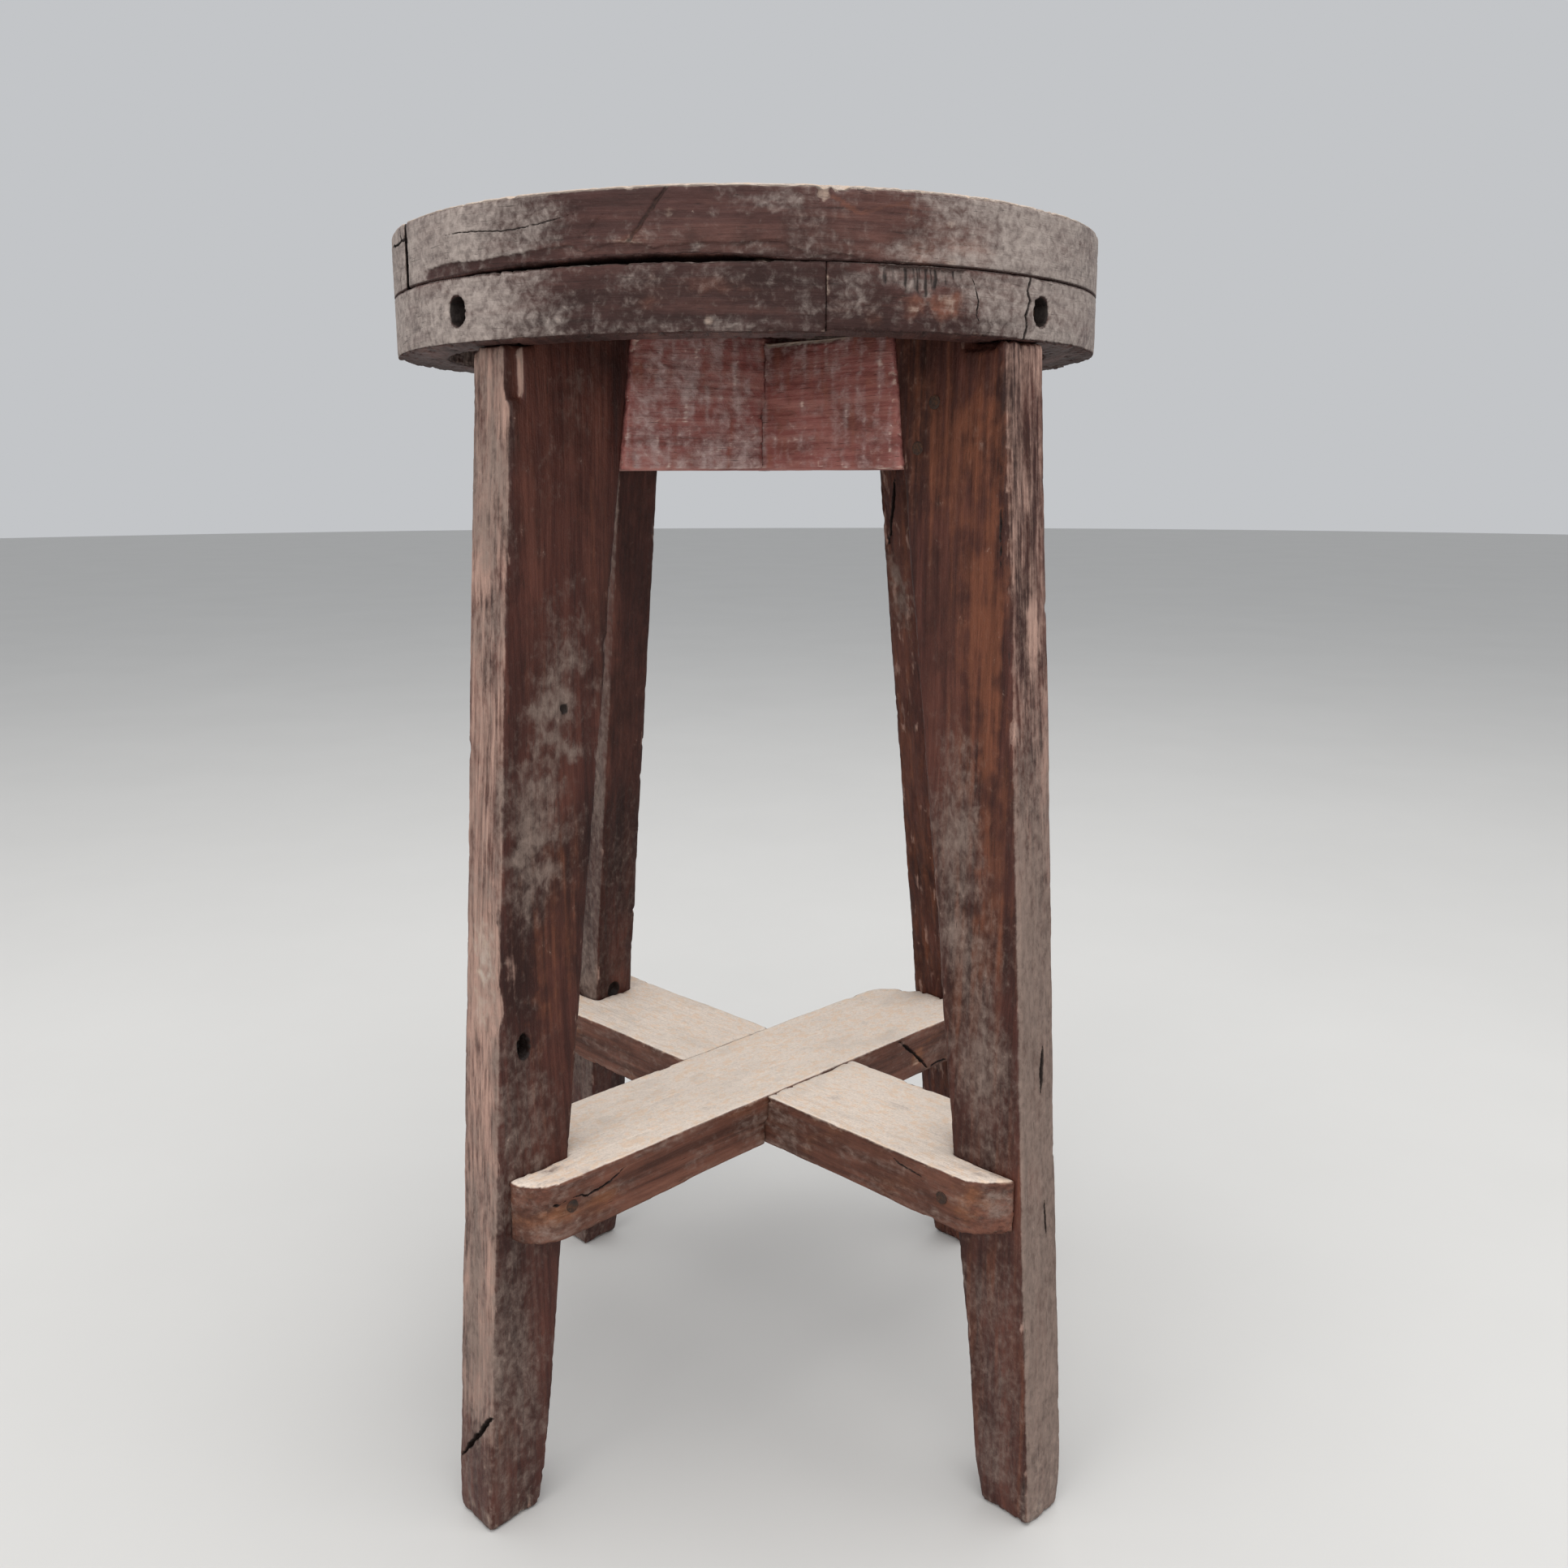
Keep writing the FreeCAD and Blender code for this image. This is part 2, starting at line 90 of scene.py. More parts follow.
def gradient_noise(points, seed):
    """Smooth noise from about -1 to 1, one feature per unit of length."""
    cell = np.floor(points)
    inside = points - cell
    fade = inside ** 3 * (inside * (inside * 6 - 15) + 10)
    total = np.zeros(len(points))
    for corner in range(8):
        offset = np.array([corner & 1, corner >> 1 & 1, corner >> 2 & 1], float)
        weight = np.prod(np.where(offset > 0, fade, 1 - fade), axis=1)
        total += weight * np.einsum("ij,ij->i", lattice_gradient(cell + offset, seed), inside - offset)
    return total


def fractal(points, size, seed, octaves=3, gain=0.5):
    """Layered noise; size is the feature size in millimetres, one number or one per axis."""
    scaled = points / np.asarray(size, float) + seed * 0.37
    total, amount, norm = np.zeros(len(points)), 1.0, 0.0
    for octave in range(octaves):
        total += amount * gradient_noise(scaled, seed + 17 * octave)
        norm += amount
        scaled, amount = scaled * 2.03 + 5.1, amount * gain
    return total / norm * 1.6


def shaken(points, size, seed):
    """Noise in three directions, to move points by."""
    return np.stack([fractal(points, size, seed + k, 2) for k in range(3)], axis=1)


def clip01(value):
    return np.clip(value, 0, 1)


def step(low, high, value):
    """Smooth step from 0 at low to 1 at high; low may be the larger."""
    t = clip01((value - low) / (high - low))
    return t * t * (3 - 2 * t)


# ---- dense pieces
class Piece:
    """A dense copy of a CAD node, with its vertices in the piece's own axes in millimetres."""

    def __init__(self, node, axes, origin, voxel, squeeze, seed, refine=(), along=2):
        self.node, self.seed, self.along = node, seed, along
        self.axes, self.origin = np.array(axes, float), np.array(origin, float)
        self.mesh = self._remesh(voxel * COARSER, np.array(squeeze, float))
        for marks, reach, cuts in refine:
            self._refine(marks, reach, cuts)
        self.read()
        self.masks = {name: np.zeros(len(self.co)) for name in ("wear", "patina", "rust", "dust", "dark")}

    def _remesh(self, voxel, squeeze):
        source = bmesh.new()
        source.from_mesh(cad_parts[self.node].data)
        bmesh.ops.remove_doubles(source, verts=source.verts, dist=2e-6)
        turn = Matrix([list(row) + [0] for row in self.axes] + [[0, 0, 0, 1]])
        source.transform(Matrix.Diagonal((*squeeze, 1)) @ turn @ Matrix.Translation(-Vector(self.origin))
                         @ Matrix.Scale(1 / MM, 4))
        mesh = bpy.data.meshes.new(self.node + "_source")
        source.to_mesh(mesh)
        source.free()
        holder = place(self.node + "_source", mesh)
        remesh = holder.modifiers.new("voxels", "REMESH")
        remesh.mode, remesh.voxel_size = "VOXEL", voxel
        graph = bpy.context.evaluated_depsgraph_get()
        dense = bpy.data.meshes.new_from_object(holder.evaluated_get(graph))
        bpy.data.objects.remove(holder)
        dense.transform(Matrix.Diagonal((*(1 / squeeze), 1)))
        return dense

    def _refine(self, marks, reach, cuts):
        """Divide the edges near a line of points, so that a crack or a chip there is real shape."""
        co = vertex_array(self.mesh, "vertices", "co")
        near = line_distance(co, marks)[0] < reach
        source = bmesh.new()
        source.from_mesh(self.mesh)
        source.edges.ensure_lookup_table()
        edges = [e for e in source.edges if near[e.verts[0].index] and near[e.verts[1].index]]
        bmesh.ops.subdivide_edges(source, edges=edges, cuts=cuts, use_grid_fill=True)
        source.to_mesh(self.mesh)
        source.free()

    def read(self):
        self.co = vertex_array(self.mesh, "vertices", "co")
        self.normal = vertex_array(self.mesh, "vertex_normals", "vector")
        pairs = np.zeros(len(self.mesh.edges) * 2, np.int32)
        self.mesh.edges.foreach_get("vertices", pairs)
        self.edges = pairs.reshape(-1, 2)

    def smoothed(self, co, rounds):
        a, b = self.edges[:, 0], self.edges[:, 1]
        count = np.bincount(self.edges.ravel(), minlength=len(co))[:, None]
        for _ in range(rounds):
            total = np.stack([np.bincount(a, co[b, k], len(co)) + np.bincount(b, co[a, k], len(co))
                              for k in range(3)], axis=1)
            co = 0.5 * co + 0.5 * total / count
        return co

    def out(self):
        """Normals in the row frame."""
        return self.normal @ self.axes

    def paint(self, mask, amount):
        self.masks[mask] = np.maximum(self.masks[mask], amount)

    def fade(self, mask, share, into=0.0):
        """Replace a share of a mask by another value."""
        self.masks[mask] = self.masks[mask] * (1 - share) + share * into

    def push(self, amount):
        """Move every vertex along its normal."""
        self.co = self.co + self.normal * np.asarray(amount)[:, None]

    def patch(self, mask, spots, rough=0.55, size=9.0):
        """Cloudy patches: each spot is a centre, a half-size per axis and a strength."""
        cloud = self.noise(size, self.seed + 71, 4)
        for centre, half, strength in spots:
            spot = 0.85 * strength * step(1.5, 0.0, self.away_from(centre, half) + rough * cloud)
            self.masks[mask] = np.clip(self.masks[mask] + spot, -1, 1.5)

    def crack(self, marks, width, depth, wander=0.9, taper=True, dark=1.0):
        """Open a groove along a line of points on the surface."""
        distance, share = line_distance(self.co + wander * shaken(self.co, 4.0, self.seed + 31), marks)
        open_width = width * (np.clip(5 * share * (1 - share), 0.12, 1) if taper else 1.0)
        cut = step(1.0, 0.25, distance / (open_width / 2))
        self.push(-depth * cut)
        self.paint("dark", dark * step(1.5, 0.6, distance / (open_width / 2)))
        return cut

    def pit(self, centre, half, depth):
        """Sink a hole with a ragged mouth."""
        shake = self.noise(3.0, self.seed + 47, 2)
        away = self.away_from(centre, half)
        sunk = step(1.0, 0.6, away + 0.2 * shake)
        self.push(-depth * sunk)
        self.paint("dark", 1.1 * step(1.25, 0.75, away))

    def chip(self, centre, half, depth, wear=0.9):
        """Break a piece off: the surface drops back over a ragged patch."""
        shake = self.noise(4.0, self.seed + 53, 3)
        gone = step(1.0, 0.72, self.away_from(centre, half) + 0.225 * shake)
        fibres = self.noise(self.along_size(1.6, 14), self.seed + 59, 2)
        self.push(-gone * (depth + 0.5 * fibres))
        self.paint("wear", wear * gone)

    def noise(self, size, seed, octaves=3, gain=0.5):
        return fractal(self.co, size, seed, octaves, gain)

    def cloudy(self, base, swing, size, seed):
        """An amount from 0 to 1 that varies in clouds."""
        return clip01(base + swing * self.noise(size, seed, 4))

    def away_from(self, centre, half):
        """Distance from a centre, in half-sizes."""
        return np.sqrt((((self.co - centre) / half) ** 2).sum(axis=1))

    def along_size(self, across, along):
        size = [across] * 3
        size[self.along] = along
        return size

    def weather(self, worn, ridges, waves, chips, flakes, soft_rounds=9, guard=1.0):
        """Waviness, worn and chipped arrises, small flakes and ridges along the grain."""
        soft = self.smoothed(self.co, soft_rounds)
        softer = self.smoothed(soft, 26)
        bend = np.einsum("ij,ij->i", self.co - soft, self.normal)
        edge = step(0.10, 0.7, bend)
        rub = clip01(worn[0] + worn[1] * self.noise(self.along_size(18, 42), self.seed, 3)) * guard
        bite = step(0.30, 0.55, self.noise(self.along_size(5.0, 13), self.seed + 3, 3))
        bite = bite * step(0.06, 0.3, bend) * guard
        self.co = self.co + (soft - self.co) * rub[:, None]
        self.co = self.co + (softer - self.co) * (chips * bite)[:, None]
        self.normal = unit(self.smoothed(self.normal, 2))
        flat = 1 - 0.7 * edge
        ridge = self.noise(self.along_size(2.4, 60), self.seed + 5, 3, 0.6)
        broad = self.noise(self.along_size(13, 120), self.seed + 7, 3)
        skin = step(0.16, 0.24, self.noise(self.along_size(7, 22), self.seed + 9, 4, 0.6))
        self.push(ridges * ridge * flat + waves * broad - flakes * skin * 2)
        self.paint("wear", 0.6 * edge * clip01(0.3 + 1.1 * self.noise(self.along_size(9, 26), self.seed + 11, 3)))
        self.paint("wear", 0.6 * bite)

    def finish(self, material, slot, keep_floor=False):
        """Write the vertices and masks back, in metres in the row frame, and put the piece in the scene."""
        grain = (self.co + 1000.0 * (self.seed % 7)) * MM
        if self.along != 2:
            order = [k for k in range(3) if k != self.along] + [self.along]
            grain = grain[:, order]
        grain = getattr(self, "grain", grain)
        world = self.co @ self.axes + self.origin
        world = world + hand_made(world)
        if keep_floor:
            world[:, 2] = np.maximum(world[:, 2], 0.0)
        mesh = self.mesh
        mesh.name = self.node + "_visual"
        mesh.vertices.foreach_set("co", (world * MM).astype(np.float32).ravel())
        store(mesh, "grain", "FLOAT_VECTOR", "vector", grain)
        for name, value in self.masks.items():
            store(mesh, name, "FLOAT", "value", np.clip(value, 0, 1.5))
        mesh.polygons.foreach_set("use_smooth", np.ones(len(mesh.polygons), bool))
        mesh.materials.clear()
        mesh.materials.append(material)
        mesh.update()
        piece = place(self.node + "_visual", mesh)
        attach(piece, "root")
        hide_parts(self.node)


def place(name, data):
    """A new object in the scene."""
    thing = bpy.data.objects.new(name, data)
    bpy.context.scene.collection.objects.link(thing)
    return thing


def vertex_array(mesh, collection, field):
    values = np.zeros(len(mesh.vertices) * 3, np.float32)
    getattr(mesh, collection).foreach_get(field, values)
    return values.reshape(-1, 3).astype(float)


def store(mesh, name, kind, field, values):
    attribute = mesh.attributes.new(name, kind, "POINT")
    attribute.data.foreach_set(field, np.asarray(values, np.float32).ravel())


def unit(vectors):
    return vectors / np.maximum(np.linalg.norm(vectors, axis=1), 1e-9)[:, None]


def line_distance(points, marks):
    """Distance of each point to a line of marks, and how far along the line it is, from 0 to 1."""
    marks = np.array(marks, float)
    best, share = np.full(len(points), 1e9), np.zeros(len(points))
    spans = max(len(marks) - 1, 1)
    for index in range(spans):
        start, run = marks[index], marks[min(index + 1, len(marks) - 1)] - marks[index]
        t = clip01((points - start) @ run / max(run @ run, 1e-9))
        away = np.linalg.norm(points - start - t[:, None] * run, axis=1)
        closer = away < best
        best = np.where(closer, away, best)
        share = np.where(closer, (index + t) / spans, share)
    return best, share


def hand_made(world):
    """The same slow wander for every piece, so that joints stay closed."""
    return shaken(world, 150.0, 401) * np.array([0.7, 0.7, 0.35]) * step(0, 40, world[:, 2])[:, None]


# ---- materials
class Graph:
    """Short hand for building a node tree."""

    def __init__(self, name):
        self.material = bpy.data.materials.new(name)
        self.material.use_nodes = True
        self.tree = self.material.node_tree
        self.tree.nodes.clear()

    def add(self, kind, inputs=(), **settings):
        node = self.tree.nodes.new(kind)
        for key, value in settings.items():
            setattr(node, key, value)
        for key, value in dict(inputs).items():
            if isinstance(value, bpy.types.NodeSocket):
                self.tree.links.new(value, node.inputs[key])
            else:
                node.inputs[key].default_value = value
        return node

    def mask(self, name):
        return self.add("ShaderNodeAttribute", attribute_name=name).outputs["Fac"]

    def math(self, operation, a, b):
        return self.add("ShaderNodeMath", {0: a, 1: b}, operation=operation).outputs[0]

    def times(self, a, b):
        return self.math("MULTIPLY", a, b)

    def plus(self, a, b, share=1.0):
        """a + share * b"""
        return self.math("ADD", a, self.times(b, share))

    def stirred(self, value, *noises):
        """A value moved up and down by noises, each given with its strength."""
        for noise, strength in noises:
            value = self.plus(value, self.math("SUBTRACT", noise, 0.5), strength)
        return value

    def ramp_value(self, value, low, high, out_low=0.0, out_high=1.0):
        return self.add("ShaderNodeMapRange", {"Value": value, "From Min": low, "From Max": high,
                                               "To Min": out_low, "To Max": out_high},
                        interpolation_type="SMOOTHSTEP").outputs["Result"]

    def noise(self, vector, scale, detail=4.0, rough=0.55, warp=0.0):
        """Noise with its own number of features per metre along each axis."""
        scaled = self.add("ShaderNodeVectorMath", {0: vector, 1: scale}, operation="MULTIPLY").outputs[0]
        return self.add("ShaderNodeTexNoise", {"Vector": scaled, "Scale": 1.0, "Detail": detail,
                                               "Roughness": rough, "Distortion": warp}).outputs["Fac"]

    def local(self):
        return self.add("ShaderNodeTexCoord").outputs["Object"]

    def mix(self, share, a, b):
        return self.add("ShaderNodeMix", {0: share, 6: a, 7: b}, data_type="RGBA").outputs[2]

    def ramp(self, value, stops):
        node = self.add("ShaderNodeValToRGB", {"Fac": value})
        elements = node.color_ramp.elements
        while len(elements) < len(stops):
            elements.new(0.5)
        for element, (place, colour) in zip(elements, stops):
            element.position, element.color = place, (*colour, 1)
        return node.outputs["Color"]

    def bump(self, strength, distance, height):
        inputs = {"Strength": strength, "Distance": distance, "Height": height}
        return self.add("ShaderNodeBump", inputs).outputs["Normal"]

    def surface(self, inputs):
        """Finish with a Principled shader and hand the material over."""
        shader = self.add("ShaderNodeBsdfPrincipled", inputs)
        self.tree.links.new(shader.outputs["BSDF"], self.add("ShaderNodeOutputMaterial").inputs["Surface"])
        return self.material


def shade(colour, factor):
    return [min(factor * c, 1) for c in colour]


def rgb(*values):
    return (*values, 1.0)


def wood(name, dark, middle, light, patina, wear, rust, dust=(0.50, 0.42, 0.36), sheen=0.62):
    """Old hardwood: streaked base, then worn, stained, dusty and dark places by the piece's masks; the dark places
    include painted shade.
    """
    g = Graph(name)
    grain = g.add("ShaderNodeAttribute", attribute_name="grain").outputs["Vector"]
    wander = g.noise(grain, (9, 9, 2.2), 2.0)
    sway = g.add("ShaderNodeCombineXYZ", {"X": g.ramp_value(wander, 0.2, 0.8, -0.006, 0.006),
                                          "Y": g.ramp_value(wander, 0.2, 0.8, 0.005, -0.005)}).outputs[0]
    bent = g.add("ShaderNodeVectorMath", {0: grain, 1: sway}, operation="ADD").outputs[0]
    streaks = g.noise(bent, (55, 55, 3.2), 4.0, 0.6)
    fibres = g.noise(bent, (420, 420, 15), 4.0, 0.62)
    hairs = g.noise(bent, (1500, 1500, 60), 2.0, 0.6)
    clouds = g.noise(grain, (24, 24, 14), 6.0, 0.66, 0.4)
    grit = g.noise(grain, (260, 260, 170), 5.0, 0.65, 0.3)
    specks = g.noise(grain, (900, 900, 700), 3.0, 0.6)

    tone = g.plus(g.times(streaks, 0.62), fibres, 0.38)
    colour = g.ramp(g.ramp_value(tone, 0.25, 0.75), [(0.08, dark), (0.48, middle), (0.92, light)])
    colour = g.mix(g.ramp_value(clouds, 0.35, 0.68, 0.0, 0.75), colour, rgb(*shade(dark, 0.55)))

    def spread(mask, low, high, cloud=0.9, fine=0.5):
        """A mask broken up by clouds and grit."""
        return g.ramp_value(g.stirred(g.mask(mask), (clouds, cloud), (grit, fine)), low, high)

    rusty = spread("rust", 0.3, 1.1)
    colour = g.mix(g.times(rusty, 0.85), colour, g.ramp(fibres, [(0.3, shade(rust, 0.6)), (0.65, rust)]))
    worn = g.ramp_value(g.stirred(g.mask("wear"), (fibres, 0.9), (grit, 0.6)), 0.28, 0.95)
    worn_colour = g.ramp(fibres, [(0.32, shade(wear, 0.5)), (0.5, wear), (0.68, shade(wear, 1.25))])
    colour = g.mix(g.times(worn, 0.9), colour, worn_colour)
    grey = spread("patina", 0.05, 1.25, 0.45, 1.5)
    grey_colour = g.ramp(g.plus(g.times(grit, 0.6), clouds, 0.4),
                         [(0.34, shade(patina, 0.62)), (0.5, patina), (0.66, shade(patina, 1.25))])
    colour = g.mix(g.times(grey, 0.9), colour, grey_colour)
    dusty = spread("dust", 0.15, 0.85, 0.6, 0.7)
    dust_colour = g.ramp(specks, [(0.30, shade(dust, 0.86)), (0.48, dust), (0.66, shade(dust, 1.06))])
    yellowed = rgb(dust[0], 0.84 * dust[1], 0.68 * dust[2])
    dust_colour = g.mix(g.ramp_value(grit, 0.48, 0.62, 0.0, 0.55), dust_colour, yellowed)
    dust_colour = g.mix(g.ramp_value(clouds, 0.50, 0.68, 0.0, 0.5), dust_colour, rgb(*shade(dust, 0.72)))
    colour = g.mix(g.times(dusty, 0.94), colour, dust_colour)
    fleck = g.times(g.ramp_value(grit, 0.66, 0.74), g.ramp_value(specks, 0.5, 0.6))
    colour = g.mix(g.times(fleck, 0.45), colour, rgb(*shade(wear, 1.1)))
    pores = g.times(g.ramp_value(hairs, 0.36, 0.28), g.math("SUBTRACT", 0.55, g.times(dusty, 0.4)))
    colour = g.mix(pores, colour, rgb(0.012, 0.008, 0.006))
    # dark mask: cracks, pits and dark marks, and painted shade under and between parts
    dark_and_shade = g.ramp_value(g.stirred(g.mask("dark"), (grit, 0.25)), 0.25, 0.85)
    colour = g.mix(g.times(dark_and_shade, 0.93), colour, rgb(0.012, 0.008, 0.007))

    rough = g.ramp_value(g.plus(g.times(grit, 0.5), clouds, 0.5), 0.35, 0.65, sheen - 0.1, sheen + 0.14)
    matt = g.math("MAXIMUM", dusty, g.math("MAXIMUM", grey, worn))
    rough = g.math("MAXIMUM", rough, g.times(matt, 0.92))
    height = g.plus(g.times(fibres, 0.55), hairs, 0.3)
    height = g.plus(g.plus(height, grit, 0.75), specks, 0.12)
    return g.surface({"Base Color": colour, "Roughness": rough, "Normal": g.bump(0.8, 0.0011, height),
                      "Specular IOR Level": 0.22})


def iron(name):
    """Rusted hand-made nail."""
    g = Graph(name)
    rough = g.noise(g.local(), (900, 900, 900), 5.0, 0.65)
    broad = g.noise(g.local(), (220, 220, 220), 4.0, 0.6)
    colour = g.ramp(g.plus(g.times(rough, 0.5), broad, 0.5),
                    [(0.35, (0.018, 0.012, 0.010)), (0.52, (0.055, 0.028, 0.018)), (0.7, (0.15, 0.06, 0.028))])
    return g.surface({"Base Color": colour, "Metallic": 0.35, "Normal": g.bump(0.7, 0.0004, rough),
                      "Roughness": g.ramp_value(broad, 0.3, 0.7, 0.6, 0.9)})


def clean_wood(name):
    """Wood of the blind pegs, which have no masks."""
    g = Graph(name)
    fibres = g.noise(g.local(), (420, 420, 30), 4.0, 0.6)
    colour = g.ramp(fibres, [(0.3, (0.03, 0.016, 0.010)), (0.6, (0.07, 0.04, 0.026))])
    return g.surface({"Base Color": colour, "Roughness": 0.8, "Normal": g.bump(0.5, 0.0004, fibres)})


def plain(name, colour, rough):
    """Floor: plain and pale, with a trace of unevenness."""
    g = Graph(name)
    cloud = g.noise(g.local(), (3, 3, 3), 4.0, 0.6)
    tint = g.ramp(cloud, [(0.3, shade(colour, 0.97)), (0.7, colour)])
    return g.surface({"Base Color": tint, "Roughness": rough})


TOP_WOOD = wood("weathered_top", (0.030, 0.012, 0.010), (0.062, 0.025, 0.021), (0.12, 0.052, 0.041),
                patina=(0.36, 0.305, 0.275), wear=(0.40, 0.30, 0.24), rust=(0.20, 0.076, 0.048))
LEG_WOOD = wood("weathered_leg", (0.028, 0.009, 0.007), (0.068, 0.021, 0.015), (0.125, 0.044, 0.030),
                patina=(0.21, 0.155, 0.130), wear=(0.40, 0.255, 0.205), rust=(0.20, 0.068, 0.035), sheen=0.5)
RAIL_WOOD = wood("weathered_rail", (0.13, 0.038, 0.032), (0.30, 0.10, 0.088), (0.44, 0.20, 0.17),
                 patina=(0.52, 0.395, 0.37), wear=(0.80, 0.62, 0.52), rust=(0.46, 0.17, 0.105))
# the dust colour is lightened beyond real dust: it is also painted light from above on the stretcher tops
STRETCHER_WOOD = wood("weathered_stretcher", (0.055, 0.021, 0.014), (0.145, 0.056, 0.036), (0.23, 0.10, 0.066),
                      patina=(0.25, 0.185, 0.155), wear=(0.40, 0.27, 0.20), rust=(0.28, 0.11, 0.05),
                      dust=(0.88, 0.76, 0.655))
PEG_WOOD = wood("old_peg", (0.06, 0.028, 0.016), (0.15, 0.072, 0.042), (0.26, 0.14, 0.085),
                patina=(0.2, 0.15, 0.13), wear=(0.30, 0.19, 0.12), rust=(0.26, 0.12, 0.05))
NAIL_IRON = iron("rusted_nail")
INNER_WOOD = clean_wood("blind_peg")


# ---- the top
def on_rim(azimuth, height):
    turn = math.radians(azimuth)
    return TOP_RADIUS * math.cos(turn), TOP_RADIUS * math.sin(turn), height


def rim_spots(*spots):
    """Patches on the rim: azimuth, height, half-size per axis and strength."""
    return [(on_rim(azimuth, height), half, strength) for azimuth, height, half, strength in spots]


def pale_arris(piece, radius, z):
    """Where the rubbed upper arris of the top shows."""
    return step(4.5, 1.2, TOP_Z - z) * step(192, 198, radius) * step(0.15, 0.6, piece.out()[:, 2])


def rim_line(*marks):
    """Points on the rim through (azimuth, height) marks, close enough together to follow its curve."""
    points = []
    for (a0, z0), (a1, z1) in zip(marks, marks[1:]):
        count = max(2, int(abs(a1 - a0) / 2))
        points += [on_rim(a0 + (a1 - a0) * i / count, z0 + (z1 - z0) * i / count) for i in range(count)]
    return points + [on_rim(*marks[-1])]


def polar(piece):
    """Azimuth in degrees, radius and whether a vertex is on the rim."""
    azimuth = np.degrees(np.arctan2(piece.co[:, 1], piece.co[:, 0]))
    radius = np.hypot(piece.co[:, 0], piece.co[:, 1])
    return azimuth, radius, step(0.35, 0.7, 1 - np.abs(piece.normal[:, 2]))


def top_piece(node, seed, refine=(), voxel=2.0, height_detail=2.3):
    """A board of the top in disc axes; on the rim its streaks run round, elsewhere along Y."""
    return Piece(node, np.eye(3), (0, 0, 0), voxel, (1, 1, height_detail), seed, refine, along=1)


def joint_guard(piece):
    """Less wear on the arrises that meet another board, except where the layers have opened."""
    azimuth, _, _ = polar(piece)
    opened = step(0.2, 1.4, np.interp(azimuth, *GAP_MARKS))
    layer = step(7, 3, np.abs(piece.co[:, 2] - LAYER_Z)) * (1 - opened)
    away = np.min([np.abs((azimuth - joint + 180) % 360 - 180) for joint in RING_JOINTS], axis=0)
    seam = step(7, 3, np.radians(away) * TOP_RADIUS) * (piece.co[:, 2] < LAYER_Z + 0.1)
    return 1 - 0.9 * np.maximum(layer, seam)


def rim_grain(piece):
    """Grain coordinates: the grime on the rim is cloudy, the boards run along Y."""
    azimuth, radius, _ = polar(piece)
    arc = np.radians(azimuth) * TOP_RADIUS
    round_rim = np.stack([piece.co[:, 2] * 0.85, TOP_RADIUS - radius, arc * 1.15], axis=1)
    board = piece.co[:, [0, 2, 1]]
    piece.grain = np.where((np.abs(piece.out()[:, 2]) < 0.6)[:, None], round_rim, board) * MM


def rim_colours(piece, dark_zone, seed):
    """Grey towards both ends of the visible arc and behind, dark and reddish in the front middle."""
    azimuth, radius, rim = polar(piece)
    cloud = piece.noise((32, 32, 16), seed, 4)
    left, right = dark_zone
    middle = step(left - 24, left + 4, azimuth) * step(right + 22, right - 2, azimuth)
    behind = step(-30, 60, piece.co[:, 1]) * step(-0.15, 0.5, piece.noise((70, 70, 40), seed + 3, 3))
    grey = 0.92 - 0.80 * middle - 0.6 * behind + 0.32 * cloud
    piece.paint("patina", rim * clip01(grey))
    piece.paint("rust", rim * clip01(0.05 + 0.12 * middle + 0.4 * piece.noise((22, 22, 12), seed + 1, 4)) * 0.7)
    upwards = piece.out()[:, 2]
    up, down = step(0.35, 0.85, upwards), step(0.5, 0.9, -upwards)
    wide = piece.noise((22, 150, 40), seed + 2, 4)
    piece.paint("patina", up * clip01(0.48 + 0.55 * wide))
    piece.paint("wear", up * 0.75 * step(0.05, 0.6, piece.noise((9, 70, 20), seed + 4, 4)))
    piece.fade("patina", 0.85 * down)
    piece.fade("wear", 0.6 * down)
    return azimuth, radius, rim, up, down


TOP_ZONE, RING_ZONE = 21, 23      # seeds shared by neighbours, so that their clouds run on across joints
# the open layers at the front left: height of the gap at each azimuth
GAP_MARKS = ([-136.0, -128.0, -118.0, -108.0, -98.0, -90.0, -86.0, -83.0], [0.0, 0.7, 1.5, 2.3, 2.6, 2.2, 1.2, 0.0])
# the edge of the lost skin above that gap: its height at each azimuth
FLAKE_LINE = ([-142, -136, -130, -124, -118, -113, -111, -108, -104.5, -101,
               -98, -94, -90, -87, -84, -82, -80, -77, -74, -71],
              [684.6, 685.6, 684.6, 685.2, 686.4, 687.4, 684.2, 686.8, 687.4, 684.6,
               685.4, 686.2, 685.2, 687.0, 686.4, 683.0, 680.4, 682.0, 680.6, 678.6])
HAIRLINE = rim_line((-138, 698.2), (-134, 698.8), (-129, 698.0), (-123.8, 696.4), (-118, 697.4),
                    (-114.2, 699.6), (-111.5, 701.2))
GOUGE = rim_line((-98.6, 712.0), (-100.0, 706.0), (-101.6, 699.4), (-103.0, 693.0), (-104.6, 686.8))
SECOND_GOUGE = rim_line((-107.6, 700.5), (-109.4, 695.5), (-111.6, 690.2))
ZIGZAG = rim_line((-79.0, 708.5), (-76.6, 704.6), (-73.8, 699.3), (-70.5, 702.5), (-67.0, 705.6), (-66.4, 700.0))
DRYING_CRACKS = [[(61, -168, TOP_Z), (62, -110, TOP_Z), (60, -62, TOP_Z)],
                 [(-71, 52, TOP_Z), (-73, 110, TOP_Z), (-70, 158, TOP_Z)],
                 [(12, 104, TOP_Z), (13, 150, TOP_Z), (11, 190, TOP_Z)]]


